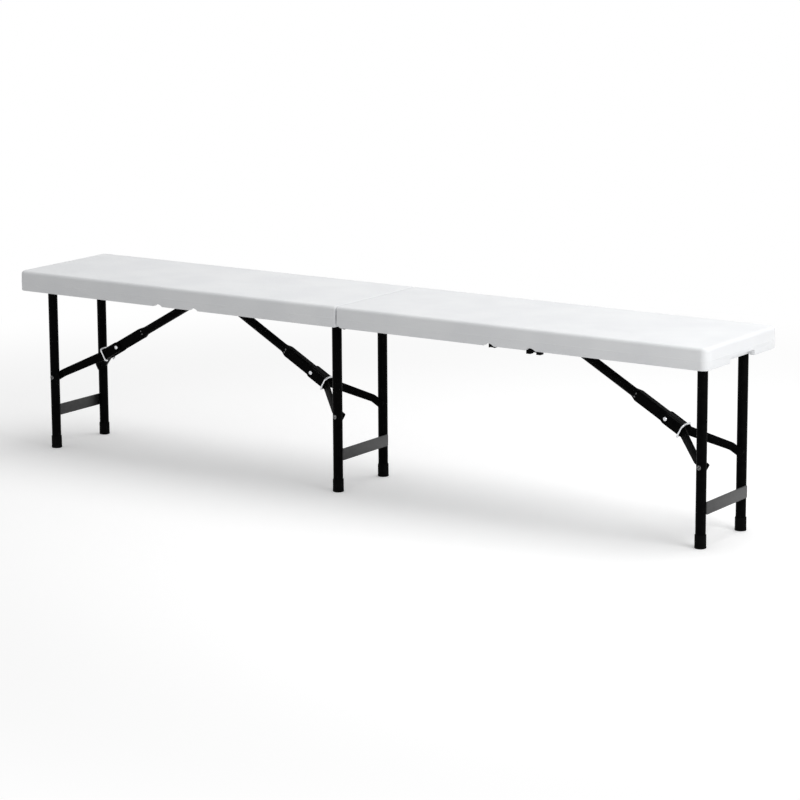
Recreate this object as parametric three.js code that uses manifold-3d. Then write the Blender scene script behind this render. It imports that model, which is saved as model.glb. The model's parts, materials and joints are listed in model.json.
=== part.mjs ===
// Folding bench: a blow-moulded seat in two halves that fold together, on three folding leg frames.
// Millimetres. +X runs along the bench, +Y away from the viewer, +Z up.
// The origin is on the floor under the middle of the seat.
import * as THREE from "three";
import Module from "manifold-3d";
import { mergeVertices } from "three/addons/utils/BufferGeometryUtils.js";

// Driving dimensions, each written once, grouped by the piece that they belong to.
const seat = {
  length: 1830,
  width: 316,
  height: 434,
  thickness: 47,
  seamGap: 3,
  rimWidth: 14,
  recessDepth: 30.5,
  endCornerRadius: 17,
  seamCornerRadius: 4,
  recessCornerRadius: 8,
  topRound: 8,
  seamRoundShare: 0.5,
  bottomRound: 1.6,
  upperDraft: 0.9,
  lowerDraft: 0.6,
  partingBelowTop: 27,
  leftSeamFoot: 5,
  rightSeamFoot: 17,
};
const notch = { width: 108, height: 12, cornerRadius: 5 };
const scallop = { width: 26, depth: 6 };
const groove = { width: 44, depth: 6.2, endInset: 55, seamInset: 58 };
const tackOff = {
  mouthRadius: 12,
  floorRadius: 7,
  depth: 10,
  columns: 11,
  rowShares: [0.304, 0.582],
  endInset: 82,
};
const rail = {
  sheet: 2,
  height: 23.7,
  flange: 12,
  faceInset: 32,
  endInset: 22,
  seamInset: 30,
  neckInset: 17,
  eyeRadius: 7.5,
};
const seamPin = { radius: 3.5, headRadius: 5.5, headThickness: 2 };
const screw = { radius: 2.2, length: 9, headRadius: 4.2, headThickness: 2.4, placesFromSeam: [215, 700] };
const frame = {
  endInset: 45,
  sideInset: 69,
  tubeRadius: 11,
  tubeWall: 1.2,
  tubeAbovePivot: 5.5,
  pivotAboveSkirt: 17.5,
};
const rod = { radius: 4, overhang: 2 };
const crossbar = { height: 27, thickness: 3, centreHeight: 86, cornerRadius: 3 };
const foot = { topRadius: 12.3, bottomRadius: 12.7, height: 29, floor: 4, round: 1.5 };
const brace = { forkPivotDrop: 232.5 };
const strut = { tubeRadius: 10, wall: 1.2, flatLength: 16, flatTaper: 20 };
const blade = { thickness: 4, height: 20 };
const channel = { width: 20, above: 12, below: 12.5, tail: 40.5, length: 120, taper: 18 };
const crimp = { radius: 2.6, depth: 0.8, spacing: 9 };
const fork = {
  sheet: 2.8,
  armHeight: 18,
  plateBelow: 12,
  plateAbove: 12,
  humpStart: 12,
  humpEnd: 47,
  rootLength: 49,
  rootBelow: 11,
  legBend: 20,
  tabLength: 9,
  tabCorner: 3,
};
const kneeRivet = { radius: 3, headRadius: 4.6, headThickness: 1.8 };
const legRivet = { radius: 3, headRadius: 5, headThickness: 2 };
const lockRing = { wireRadius: 2.2, fromKnee: 43, belowCentre: 15, bendRadius: 6.5, footTip: 10.8 };
const handle = {
  wireRadius: 4,
  armReach: 60,
  armSpacing: 103,
  towardSeam: 11,
  bendRadius: 12,
  gripRadius: 4.6,
  gripLength: 68,
  eyeRadius: 5.2,
  eyeWidth: 8.4,
  pinRadius: 2.4,
  pinReach: 2.4,
};
const saddle = {
  depth: 13,
  slotAbovePivot: 6,
  inner: { width: 15, slot: 9.4, belowSkirt: 5.5 },
  outer: { width: 35, slot: 14.5, belowSkirt: 9.5 },
};

// Clearances: where pieces seat, where they turn, between sheets that pass, and between closed skirts.
const gap = { seat: 0.3, running: 0.3, slab: 0.3, ring: 0.4, fold: 1 };
const overrun = 6;

// Facets of the round forms.
const sides = {
  tube: 16,
  foot: 14,
  pin: 10,
  rivet: 8,
  wire: 4,
  corner: 5,
  dent: 7,
  section: 16,
  wireSteps: 30,
};

// Places worked out from the driving dimensions.
const halfLength = seat.length / 2;
const halfWidth = seat.width / 2;
const seamFace = seat.seamGap / 2;
const halfMiddle = halfLength / 2;
const skirtBottom = seat.height - seat.thickness;
const deckUnder = skirtBottom + seat.recessDepth;
const pivotHeight = skirtBottom + frame.pivotAboveSkirt;
const foldAxisHeight = skirtBottom - gap.fold;
const partingHeight = seat.height - seat.partingBelowTop;
const railTop = deckUnder - gap.seat;
const railBottom = railTop - rail.height;
const railEnd = halfLength - rail.endInset;
const outerRailFace = halfWidth - rail.faceInset;
const innerRailFace = outerRailFace - rail.sheet - gap.slab;
const legY = halfWidth - frame.sideInset;
const legInnerFace = legY - frame.tubeRadius;
const legOuterFace = legY + frame.tubeRadius;
const endFrameX = halfLength - frame.endInset;
const seamFrameX = frame.endInset;

// The brace is straight when open. Its strut is longer than its fork by what lets it fold flat.
const braceReach = endFrameX - halfMiddle;
const braceAngle = Math.atan2(brace.forkPivotDrop, braceReach);
const braceLength = Math.hypot(braceReach, brace.forkPivotDrop);
const strutLength = (braceLength + braceReach - brace.forkPivotDrop) / 2;
const forkLength = braceLength - strutLength;
const plateInner = channel.width / 2 + gap.slab;
const plateOuter = plateInner + fork.sheet;
const tabOuter = legInnerFace - gap.seat;
const tabInner = tabOuter - fork.sheet;
const kneeHeadOuter = plateOuter + gap.slab + kneeRivet.headThickness;
const ringSide = kneeHeadOuter + gap.ring + lockRing.wireRadius;
const ringTop = Math.max(fork.plateAbove, channel.below) + gap.seat + lockRing.wireRadius;
const handleX = halfMiddle - handle.towardSeam;

const wasm = await Module();
wasm.setup();

// Materials as the photograph shows them.
const paint = (color, roughness, metalness) => () =>
  new THREE.MeshStandardMaterial({ color, roughness, metalness });
const finishes = {
  plastic: paint(0xe6e8ea, 0.55, 0),
  blackPaint: paint(0x16171a, 0.38, 0.3),
  blackPlastic: paint(0x121214, 0.6, 0),
  zinc: paint(0xc9ccd0, 0.28, 1),
};

const piece = (name, geometry, finish) => {
  const mesh = new THREE.Mesh(geometry, finishes[finish]());
  mesh.name = name;
  return mesh;
};

// A manifold solid from a three.js geometry, and back again with flat faces.
const solid = (geometry) => {
  const bare = geometry.clone();
  bare.deleteAttribute("normal");
  bare.deleteAttribute("uv");
  const merged = mergeVertices(bare);
  const vertProperties = new Float32Array(merged.attributes.position.array);
  const triVerts = new Uint32Array(merged.index.array);
  return new wasm.Manifold(new wasm.Mesh({ numProp: 3, vertProperties, triVerts }));
};
const surface = (body) => {
  const mesh = body.getMesh();
  const geometry = new THREE.BufferGeometry();
  geometry.setAttribute("position", new THREE.BufferAttribute(new Float32Array(mesh.vertProperties), 3));
  geometry.setIndex(new THREE.BufferAttribute(new Uint32Array(mesh.triVerts), 1));
  const faceted = geometry.toNonIndexed();
  faceted.computeVertexNormals();
  return faceted;
};
const joined = (bodies) => bodies.reduce((sum, body) => sum.add(body));
const cut = (body, tools) => tools.reduce((rest, tool) => rest.subtract(tool), body);

// Forms along an axis: a rod along Y or Z, a plate drawn in X and Z or in Y and Z, a turned solid.
const rodY = (radius, from, to, count = sides.pin) =>
  solid(new THREE.CylinderGeometry(radius, radius, to - from, count).translate(0, (from + to) / 2, 0));
const rodZ = (radius, from, to, count = sides.pin) => rodY(radius, from, to, count).rotate([90, 0, 0]);
const plateY = (shape, from, to, curveSegments = sides.corner) => {
  const plate = new THREE.ExtrudeGeometry(shape, { depth: to - from, bevelEnabled: false, curveSegments });
  return solid(plate.rotateX(Math.PI / 2).translate(0, to, 0));
};
const plateX = (shape, from, to, curveSegments = sides.corner) => {
  const plate = new THREE.ExtrudeGeometry(shape, { depth: to - from, bevelEnabled: false, curveSegments });
  return solid(plate.rotateX(Math.PI / 2).rotateZ(Math.PI / 2).translate(from, 0, 0));
};
const plateZ = (shape, from, to) =>
  solid(new THREE.ExtrudeGeometry(shape, { depth: to - from, bevelEnabled: false }).translate(0, 0, from));
const block = (from, to) => {
  const size = to.map((value, i) => value - from[i]);
  const middle = from.map((value, i) => value + size[i] / 2);
  return solid(new THREE.BoxGeometry(...size).translate(...middle));
};
const turned = (points, count) =>
  new THREE.LatheGeometry(points.map(([radius, along]) => new THREE.Vector2(radius, along)), count);
const polygon = (points) => new THREE.Shape(points.map(([x, y]) => new THREE.Vector2(x, y)));
const roundedShape = (x0, y0, x1, y1, radius) => {
  const shape = new THREE.Shape();
  shape.absarc(x1 - radius, y0 + radius, radius, -Math.PI / 2, 0);
  shape.absarc(x1 - radius, y1 - radius, radius, 0, Math.PI / 2);
  shape.absarc(x0 + radius, y1 - radius, radius, Math.PI / 2, Math.PI);
  shape.absarc(x0 + radius, y0 + radius, radius, Math.PI, Math.PI * 1.5);
  return shape;
};

// A closed solid through rings with equal counts of points, each ring a convex loop.
const loft = (rings) => {
  const count = rings[0].length;
  const index = [];
  for (let ring = 0; ring + 1 < rings.length; ring += 1) {
    for (let i = 0; i < count; i += 1) {
      const j = (i + 1) % count;
      const low = ring * count;
      const high = low + count;
      index.push(low + i, low + j, high + j, low + i, high + j, high + i);
    }
  }
  const last = (rings.length - 1) * count;
  for (let i = 1; i + 1 < count; i += 1) {
    index.push(0, i + 1, i, last, last + i, last + i + 1);
  }
  const geometry = new THREE.BufferGeometry();
  geometry.setAttribute("position", new THREE.Float32BufferAttribute(rings.flat(2), 3));
  geometry.setIndex(index);
  return solid(geometry);
};

// A round wire along a path, and a path of straight runs with round bends in one plane.
const wire = (path, radius, steps = sides.wireSteps) => {
  const section = new THREE.Shape();
  section.absarc(0, 0, radius, 0, Math.PI * 2);
  const options = { steps, extrudePath: path, bevelEnabled: false, curveSegments: sides.wire };
  return solid(new THREE.ExtrudeGeometry(section, options));
};
const bentPath = (corners, radius, place) => {
  const path = new THREE.CurvePath();
  const points = corners.map(([a, b]) => new THREE.Vector2(a, b));
  const toward = (from, to, reach) => to.clone().sub(from).setLength(reach).add(from);
  const spot = (point) => new THREE.Vector3(...place(point.x, point.y));
  let from = points[0];
  for (let i = 1; i + 1 < points.length; i += 1) {
    const before = toward(points[i], points[i - 1], radius);
    const after = toward(points[i], points[i + 1], radius);
    path.add(new THREE.LineCurve3(spot(from), spot(before)));
    path.add(new THREE.QuadraticBezierCurve3(spot(before), spot(points[i]), spot(after)));
    from = after;
  }
  path.add(new THREE.LineCurve3(spot(from), spot(points[points.length - 1])));
  return path;
};

// A sheet bent along a line in plan: the line, and the same line moved over by the sheet's thickness.
const bentSheet = (line, thickness, low, high) => {
  const points = line.map(([x, y]) => new THREE.Vector2(x, y));
  const normals = points.slice(1).map((point, i) => {
    const along = point.clone().sub(points[i]).normalize();
    return new THREE.Vector2(along.y, -along.x);
  });
  const moved = points.map((point, i) => {
    const a = normals[Math.max(i - 1, 0)];
    const b = normals[Math.min(i, normals.length - 1)];
    const mitre = a.clone().add(b);
    return point.clone().addScaledVector(mitre, (thickness * 2) / mitre.lengthSq());
  });
  return plateZ(polygon([...moved, ...points.reverse()].map((point) => [point.x, point.y])), low, high);
};

// One level of the seat's outline in plan, drawn in by an inset, and by a share of it at the seam.
const planRing = (z, limits, inset, seamRadius, endRadius, seamShare = 1) => {
  const x0 = limits[0] + inset * seamShare;
  const x1 = limits[1] - inset;
  const y = limits[2] - inset;
  const least = seat.bottomRound / 2;
  const seamReach = Math.max(seamRadius - inset, least);
  const endReach = Math.max(endRadius - inset, least);
  const corners = [
    [x1 - endReach, endReach - y, endReach, -Math.PI / 2],
    [x1 - endReach, y - endReach, endReach, 0],
    [x0 + seamReach, y - seamReach, seamReach, Math.PI / 2],
    [x0 + seamReach, seamReach - y, seamReach, Math.PI],
  ];
  const points = [];
  for (const [cx, cy, reach, start] of corners) {
    for (let i = 0; i <= sides.corner; i += 1) {
      const angle = start + (i / sides.corner) * (Math.PI / 2);
      points.push([cx + reach * Math.cos(angle), cy + reach * Math.sin(angle), z]);
    }
  }
  return points;
};

// Seat half, in half coordinates: the seam is at X = 0 and the outer end at +X.
// The skirt is widest at its parting line and draws in above and below it.
const seatBody = () => {
  const limits = [seamFace, halfLength, halfWidth];
  const ring = (z, inset) =>
    planRing(z, limits, inset, seat.seamCornerRadius, seat.endCornerRadius, seat.seamRoundShare);
  const rings = [
    ring(skirtBottom, seat.lowerDraft + seat.bottomRound),
    ring(skirtBottom + seat.bottomRound, seat.lowerDraft),
    ring(partingHeight, 0),
  ];
  const roundBase = seat.height - seat.topRound;
  for (let i = 0; i <= sides.corner; i += 1) {
    const angle = (i / sides.corner) * (Math.PI / 2);
    const inset = seat.upperDraft + seat.topRound * (1 - Math.cos(angle));
    rings.push(ring(roundBase + seat.topRound * Math.sin(angle), inset));
  }
  return loft(rings);
};

// What the seam end loses seen from the side: a round at the foot of its wall.
const seamFoot = (radius) => {
  const bottom = skirtBottom - overrun;
  const shape = new THREE.Shape();
  shape.moveTo(seamFace - overrun, bottom);
  shape.lineTo(seamFace + radius, bottom);
  shape.absarc(seamFace + radius, skirtBottom + radius, radius, -Math.PI / 2, -Math.PI, true);
  shape.lineTo(seamFace - overrun, skirtBottom + radius);
  return plateY(shape, -seat.width, seat.width);
};

const recess = () => {
  const limits = [seamFace + seat.rimWidth, halfLength - seat.rimWidth, halfWidth - seat.rimWidth];
  const radius = seat.recessCornerRadius;
  return loft([skirtBottom - overrun, deckUnder].map((z) => planRing(z, limits, 0, radius, radius)));
};

// Shallow groove along the deck that takes the folded braces and their rings.
const braceGroove = () =>
  block(
    [groove.seamInset, -groove.width / 2, deckUnder - overrun],
    [halfLength - groove.endInset, groove.width / 2, deckUnder + groove.depth],
  );

// Moulded dents that weld the deck's two skins together, in rows clear of the rails and the groove.
const tackOffs = () => {
  const pitch = (halfLength - tackOff.endInset * 2) / (tackOff.columns - 1);
  const { floorRadius, mouthRadius, depth } = tackOff;
  const rows = tackOff.rowShares.map((share) => share * halfWidth);
  return rows.flatMap((row) => [row, -row]).flatMap((y) =>
    Array.from({ length: tackOff.columns }, (_, i) => {
      const cone = new THREE.CylinderGeometry(floorRadius, mouthRadius, depth, sides.dent);
      cone.rotateX(Math.PI / 2);
      return solid(cone.translate(tackOff.endInset + i * pitch, y, deckUnder + depth / 2));
    }),
  );
};

// Hollows in the skirt's lower edge, one for each arm of the carry handle.
const scallops = (handSide) => {
  const radius = ((scallop.width / 2) ** 2 + scallop.depth ** 2) / (2 * scallop.depth);
  const inner = halfWidth - seat.rimWidth - overrun;
  const outer = halfWidth + overrun;
  const [from, to] = handSide > 0 ? [inner, outer] : [-outer, -inner];
  return [-1, 1].map((end) => {
    const x = handleX + (end * handle.armSpacing) / 2;
    return rodY(radius, from, to, sides.tube * 2).translate([x, 0, skirtBottom + scallop.depth - radius]);
  });
};

// Openings in the seam wall for the hinge ends of the rails.
const hingeSlots = () => {
  const inner = innerRailFace - rail.flange - gap.seat;
  const outer = outerRailFace + seamPin.headThickness * 2;
  return [-1, 1].map((side) => {
    const [from, to] = side > 0 ? [inner, outer] : [-outer, -inner];
    const past = seamFace + seat.rimWidth + overrun;
    return block([-overrun, from, skirtBottom - overrun], [past, to, deckUnder]);
  });
};

const fingerNotch = () => {
  const side = notch.width / 2;
  const shape = roundedShape(
    -side,
    skirtBottom - notch.height,
    side,
    skirtBottom + notch.height,
    notch.cornerRadius,
  );
  return plateX(shape, halfLength - seat.rimWidth - overrun, halfLength + overrun);
};

const screwPlaces = (railFace) => {
  const y = railFace - (rail.flange + rail.sheet) / 2;
  return screw.placesFromSeam.flatMap((x) => [-1, 1].map((side) => [x, side * y, side]));
};

const seatHalf = (footRadius, handSide, railFace) => {
  const holes = screwPlaces(railFace).map(([x, y]) =>
    rodZ(screw.radius + gap.running, -screw.length, screw.length).translate([x, y, deckUnder]),
  );
  return surface(
    cut(seatBody(), [
      recess(),
      seamFoot(footRadius),
      fingerNotch(),
      braceGroove(),
      ...tackOffs(),
      ...scallops(handSide),
      ...hingeSlots(),
      ...holes,
    ]),
  );
};

// Steel side rail: a channel under the deck, whose web runs on at the seam as a hinge eye.
const sideRail = (face, side, boreXs) => {
  const web = new THREE.Shape();
  web.moveTo(railEnd, railBottom);
  web.lineTo(railEnd, railTop);
  web.lineTo(rail.neckInset, railTop);
  web.absarc(0, foldAxisHeight, rail.eyeRadius, Math.PI / 2, Math.PI * 1.75);
  web.lineTo(rail.seamInset, railBottom);
  const inner = face - rail.sheet;
  const edge = face - rail.flange;
  const outline = joined([
    plateY(web, inner, face, sides.pin),
    block([rail.seamInset, edge, railTop - rail.sheet], [railEnd, face, railTop]),
    block([rail.seamInset, edge, railBottom], [railEnd, face, railBottom + rail.sheet]),
  ]);
  const bore = (radius, x, z) =>
    rodY(radius, inner - overrun, face + overrun, sides.foot).translate([x, 0, z]);
  const screwHole = rodZ(screw.radius + gap.running, -rail.sheet, rail.sheet);
  const body = cut(outline, [
    ...boreXs.map((x) => bore(rod.radius + gap.running, x, pivotHeight)),
    bore(seamPin.radius + gap.running, 0, foldAxisHeight),
    ...screw.placesFromSeam.map((x) =>
      screwHole.translate([x, face - (rail.flange + rail.sheet) / 2, railTop - rail.sheet / 2]),
    ),
  ]);
  return surface(side > 0 ? body : body.mirror([0, 1, 0]));
};

const railScrew = () => {
  const neck = -gap.seat;
  const points = [
    [0, neck - screw.headThickness],
    [(screw.headRadius + screw.radius) / 2, neck - screw.headThickness],
    [screw.headRadius, neck - screw.headThickness / 2],
    [screw.headRadius, neck],
    [screw.radius, neck],
    [screw.radius, screw.length - screw.radius],
    [0, screw.length],
  ];
  return turned(points, sides.dent).rotateX(Math.PI / 2);
};

// A rivet or pin along Y, its shank between two faces and a domed head beyond each of them.
const rivetPoints = (shape, from, to) => {
  const crown = shape.headThickness / 2;
  return [
    [0, from - shape.headThickness],
    [(shape.headRadius * 2) / 3, from - shape.headThickness],
    [shape.headRadius, from - crown],
    [shape.headRadius, from],
    [shape.radius, from],
    [shape.radius, to],
    [shape.headRadius, to],
    [shape.headRadius, to + crown],
    [(shape.headRadius * 2) / 3, to + shape.headThickness],
    [0, to + shape.headThickness],
  ];
};

const hingePin = () => {
  const from = innerRailFace - rail.sheet - gap.seat;
  return turned(rivetPoints(seamPin, from, outerRailFace + gap.seat), sides.pin);
};

const crossRod = (railFace) => {
  const reach = railFace + rod.overhang;
  return surface(rodY(rod.radius, -reach, reach, sides.foot));
};

// Leg frame, in frame coordinates: the pivot at the top is the origin and the brace stands on the +X side.
const legTube = () => {
  const top = frame.tubeAbovePivot;
  const bottom = foot.floor + gap.seat - pivotHeight;
  const bore = frame.tubeRadius - frame.tubeWall;
  const wall = [
    [bore, bottom],
    [frame.tubeRadius, bottom],
    [frame.tubeRadius, top],
    [bore, top],
    [bore, bottom],
  ];
  const tube = solid(turned(wall, sides.tube).rotateX(Math.PI / 2));
  const across = frame.tubeRadius + overrun;
  return surface(
    cut(tube, [
      rodY(rod.radius + gap.seat, -across, across),
      rodY(legRivet.radius + gap.seat, -across, across).translate([0, 0, -brace.forkPivotDrop]),
    ]),
  );
};

const footCap = () => {
  const bore = frame.tubeRadius + gap.seat;
  const points = [
    [0, 0],
    [foot.bottomRadius - foot.round, 0],
    [foot.bottomRadius, foot.round],
    [foot.topRadius, foot.height],
    [bore, foot.height],
    [bore, foot.floor],
    [0, foot.floor],
  ];
  return turned(points, sides.foot).rotateX(Math.PI / 2);
};

const crossbarStrip = () => {
  const reach = legY;
  const low = crossbar.centreHeight - crossbar.height / 2 - pivotHeight;
  const shape = roundedShape(-reach, low, reach, low + crossbar.height, crossbar.cornerRadius);
  const face = -frame.tubeRadius - gap.seat;
  return surface(plateX(shape, face - crossbar.thickness, face, 2));
};

// Rivet through a leg: it ends flush inside, where the fork's own rivet head takes over.
const legPin = (side) => {
  const points = [
    [0, legInnerFace],
    [legRivet.radius, legInnerFace],
    ...rivetPoints(legRivet, legInnerFace, legOuterFace + gap.seat).slice(5),
  ];
  const pin = turned(points, sides.rivet);
  return side > 0 ? pin : pin.rotateX(Math.PI);
};

// Brace pieces, in brace coordinates: the fork's pivot is the origin, +X runs up the brace to the
// strut's pivot, and +Z is square to it, on the upper side.
const section = (x, halfY, low, high, power, centreY = 0) => {
  const centreZ = (low + high) / 2;
  const halfZ = (high - low) / 2;
  const bend = (value) => Math.sign(value) * Math.abs(value) ** (2 / power);
  return Array.from({ length: sides.section }, (_, i) => {
    const angle = ((i + 0.5) / sides.section) * Math.PI * 2;
    return [x, centreY + halfY * bend(Math.cos(angle)), centreZ + halfZ * bend(Math.sin(angle))];
  });
};

const strutBody = () => {
  const { tubeRadius, wall } = strut;
  const start = forkLength - channel.tail;
  const wide = start + channel.length;
  const round = wide + channel.taper;
  const flat = braceLength - strut.flatLength;
  const tubeEnd = flat - strut.flatTaper;
  const bladeY = -(blade.thickness + gap.slab) / 2;
  const circle = (x, radius) => section(x, radius, -radius, radius, 2);
  const squared = 7;
  const outer = loft([
    section(start, channel.width / 2, -channel.below, channel.above, squared),
    section(wide, channel.width / 2, -channel.below, channel.above, squared),
    circle(round, tubeRadius),
    circle(tubeEnd, tubeRadius),
    section(flat, blade.thickness / 2, -blade.height / 2, blade.height / 2, squared, bladeY),
    section(braceLength, blade.thickness / 2, -blade.height / 2, blade.height / 2, squared, bladeY),
  ]);
  const low = -channel.below - overrun;
  const open = section(start - overrun, channel.width / 2 - wall, low, channel.above - wall, squared);
  const inner = loft([
    open,
    open.map(([, y, z]) => [wide, y, z]),
    circle(round, tubeRadius - wall),
    circle(tubeEnd, tubeRadius - wall),
  ]);
  const bladeHalf = blade.thickness / 2;
  const eye = rodY(blade.height / 2, bladeY - bladeHalf, bladeY + bladeHalf, sides.tube);
  const through = channel.width;
  const crimps = [-1, 1].flatMap((face) =>
    [-1, 1].map((end) => {
      const reach = face * (tubeRadius - crimp.depth);
      const [from, to] = face > 0 ? [reach, reach + overrun] : [reach - overrun, reach];
      return rodY(crimp.radius, from, to, sides.dent).translate([
        wide + channel.taper / 2,
        0,
        (end * crimp.spacing) / 2,
      ]);
    }),
  );
  const body = outer.add(eye.translate([braceLength, 0, 0])).subtract(inner);
  return surface(
    cut(body, [
      rodY(rod.radius + gap.running, -through, through).translate([braceLength, 0, 0]),
      rodY(kneeRivet.radius + gap.running, -through, through).translate([forkLength, 0, 0]),
      ...crimps,
    ]),
  );
};

// Fork arm: a strip bent in plan from the knee out to its leg, cut to its outline seen from the side.
const forkArm = (side) => {
  const halfArm = fork.armHeight / 2;
  const rootX = forkLength - fork.rootLength;
  const knee = forkLength;
  const plan = [
    [-fork.tabLength - overrun, tabInner],
    [fork.legBend, tabInner],
    [rootX, plateInner],
    [knee + fork.plateBelow + overrun, plateInner],
  ];
  const below = -fork.plateBelow - overrun;
  const strip = bentSheet(plan.reverse(), fork.sheet, below, fork.plateAbove + overrun);
  const corner = fork.tabCorner;
  const outline = new THREE.Shape();
  outline.moveTo(-fork.tabLength + corner, -halfArm);
  outline.lineTo(fork.legBend, -halfArm);
  outline.lineTo(rootX, -fork.rootBelow);
  outline.lineTo(knee - fork.humpEnd, -fork.plateBelow);
  outline.absarc(knee, 0, fork.plateBelow, -Math.PI / 2, Math.PI / 2);
  outline.lineTo(knee - fork.humpStart, fork.plateAbove);
  outline.lineTo(knee - fork.humpEnd, fork.plateAbove);
  outline.quadraticCurveTo(rootX, fork.plateAbove, rootX, halfArm);
  outline.absarc(-fork.tabLength + corner, halfArm - corner, corner, Math.PI / 2, Math.PI);
  outline.absarc(-fork.tabLength + corner, corner - halfArm, corner, Math.PI, Math.PI * 1.5);
  const head = turned(
    [
      [0, tabInner - legRivet.headThickness],
      [(legRivet.headRadius * 2) / 3, tabInner - legRivet.headThickness],
      [legRivet.headRadius, tabInner - legRivet.headThickness / 2],
      [legRivet.headRadius, tabInner + fork.sheet / 2],
      [0, tabInner + fork.sheet / 2],
    ],
    sides.rivet,
  );
  const across = legOuterFace;
  const arm = plateY(outline, 0, across)
    .intersect(strip)
    .subtract(rodY(kneeRivet.radius + gap.running, 0, across).translate([knee, 0, 0]))
    .add(solid(head));
  return surface(side > 0 ? arm : arm.mirror([0, 1, 0]));
};

const kneePin = () => {
  const face = plateOuter + gap.slab;
  return turned(rivetPoints(kneeRivet, -face, face), sides.rivet).translate(forkLength, 0, 0);
};

// Lock ring: wire over both fork arms, with its ends turned in under them.
const ringWire = () => {
  const corners = [
    [-lockRing.footTip, -lockRing.belowCentre],
    [-ringSide, -lockRing.belowCentre],
    [-ringSide, ringTop],
    [ringSide, ringTop],
    [ringSide, -lockRing.belowCentre],
    [lockRing.footTip, -lockRing.belowCentre],
  ];
  const x = forkLength - lockRing.fromKnee;
  return surface(wire(bentPath(corners, lockRing.bendRadius, (y, z) => [x, y, z]), lockRing.wireRadius));
};

// Carry handle, about its own hinge line: a wire bail that lies under the deck, with a thicker grip.
const bail = () => {
  const side = handle.armSpacing / 2;
  const corners = [
    [-side, 0],
    [-side, handle.armReach],
    [side, handle.armReach],
    [side, 0],
  ];
  const arms = wire(bentPath(corners, handle.bendRadius, (x, y) => [x, y, 0]), handle.wireRadius);
  const alongX = (radius, from, to, count) => rodY(radius, from, to, count).rotate([0, 0, -90]);
  const grip = alongX(handle.gripRadius, -handle.gripLength / 2, handle.gripLength / 2, sides.pin);
  const eyes = [-side, side].flatMap((x) => {
    const eye = handle.eyeWidth / 2;
    const pin = (x < 0 ? saddle.inner.slot : saddle.outer.slot) / 2 + handle.pinReach;
    return [
      alongX(handle.eyeRadius, x - eye, x + eye, sides.foot),
      alongX(handle.pinRadius, x - pin, x + pin, sides.pin),
    ];
  });
  return surface(joined([arms, grip.translate([0, handle.armReach, 0]), ...eyes]));
};

// Block that holds one eye of the handle: a saddle open below, with a bore through both cheeks.
const saddleBlock = (form) => {
  const side = form.width / 2;
  const slot = form.slot / 2;
  const low = skirtBottom - form.belowSkirt;
  const slotTop = foldAxisHeight + saddle.slotAbovePivot;
  const shape = polygon([
    [-side, low],
    [-slot, low],
    [-slot, slotTop],
    [slot, slotTop],
    [slot, low],
    [side, low],
    [side, railTop],
    [-side, railTop],
  ]);
  const bore = rodY(handle.pinRadius + gap.running, -side - overrun, side + overrun).rotate([0, 0, 90]);
  return surface(
    plateY(shape, -saddle.depth / 2, saddle.depth / 2).subtract(bore.translate([0, 0, foldAxisHeight])),
  );
};

// One brace, hung between the legs and the seat half.
const braceGroup = (name, near, far) => {
  const group = new THREE.Group();
  group.position.z = -brace.forkPivotDrop;
  group.rotation.y = -braceAngle;
  group.add(piece(`${name}_strut`, strutBody(), "blackPaint"));
  group.add(piece(`${name}_fork_arm_${far}`, forkArm(1), "blackPaint"));
  group.add(piece(`${name}_fork_arm_${near}`, forkArm(-1), "blackPaint"));
  group.add(piece(`${name}_knee_rivet`, kneePin(), "zinc"));
  group.add(piece(`${name}_lock_ring`, ringWire(), "zinc"));
  return group;
};

// One leg frame at a place along its half, turned so that its brace runs to the middle of the half.
const legFrame = (name, x, turn, railFace, near, far) => {
  const group = new THREE.Group();
  group.position.set(x, 0, pivotHeight);
  group.rotation.z = turn;
  for (const [label, side] of [[far, 1], [near, -1]]) {
    const leg = piece(`${name}_leg_${label}`, legTube(), "blackPaint");
    leg.position.y = side * legY;
    const cap = piece(`${name}_foot_cap_${label}`, footCap(), "blackPlastic");
    cap.position.set(0, side * legY, -pivotHeight);
    const pin = piece(`${name}_fork_rivet_${label}`, legPin(side), "blackPaint");
    pin.position.z = -brace.forkPivotDrop;
    group.add(leg, cap, pin);
  }
  group.add(piece(`${name}_leg_axle`, crossRod(railFace), "blackPaint"));
  group.add(piece(`${name}_crossbar`, crossbarStrip(), "blackPaint"));
  group.add(braceGroup(name, near, far));
  return group;
};

// One half of the bench in half coordinates; the near and far sides swap when the half is turned round.
const benchHalf = (name, turn, footRadius, railFace, frames) => {
  const [plus, minus] = turn ? ["near", "far"] : ["far", "near"];
  const handSide = turn ? 1 : -1;
  const group = new THREE.Group();
  group.rotation.z = turn;
  group.add(piece(`seat_half_${name}`, seatHalf(footRadius, handSide, railFace), "plastic"));
  const boreXs = [halfMiddle, ...frames.map(([, x]) => x)];
  group.add(piece(`side_rail_${name}_${plus}`, sideRail(railFace, 1, boreXs), "blackPaint"));
  group.add(piece(`side_rail_${name}_${minus}`, sideRail(railFace, -1, boreXs), "blackPaint"));
  screwPlaces(railFace).forEach(([x, y, side]) => {
    const end = x > halfMiddle ? "outer" : "inner";
    const label = side > 0 ? plus : minus;
    const mesh = piece(`rail_screw_${name}_${label}_${end}`, railScrew(), "zinc");
    mesh.position.set(x, y, railTop - rail.sheet);
    group.add(mesh);
  });
  const strutRod = piece(`strut_rod_${name}`, crossRod(railFace), "blackPaint");
  strutRod.position.set(halfMiddle, 0, pivotHeight);
  group.add(strutRod);
  for (const [frameName, x, frameTurn] of frames) {
    const swapped = Boolean(turn) !== Boolean(frameTurn);
    const [near, far] = swapped ? ["far", "near"] : ["near", "far"];
    group.add(legFrame(frameName, x, frameTurn, railFace, near, far));
  }
  return group;
};

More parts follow.
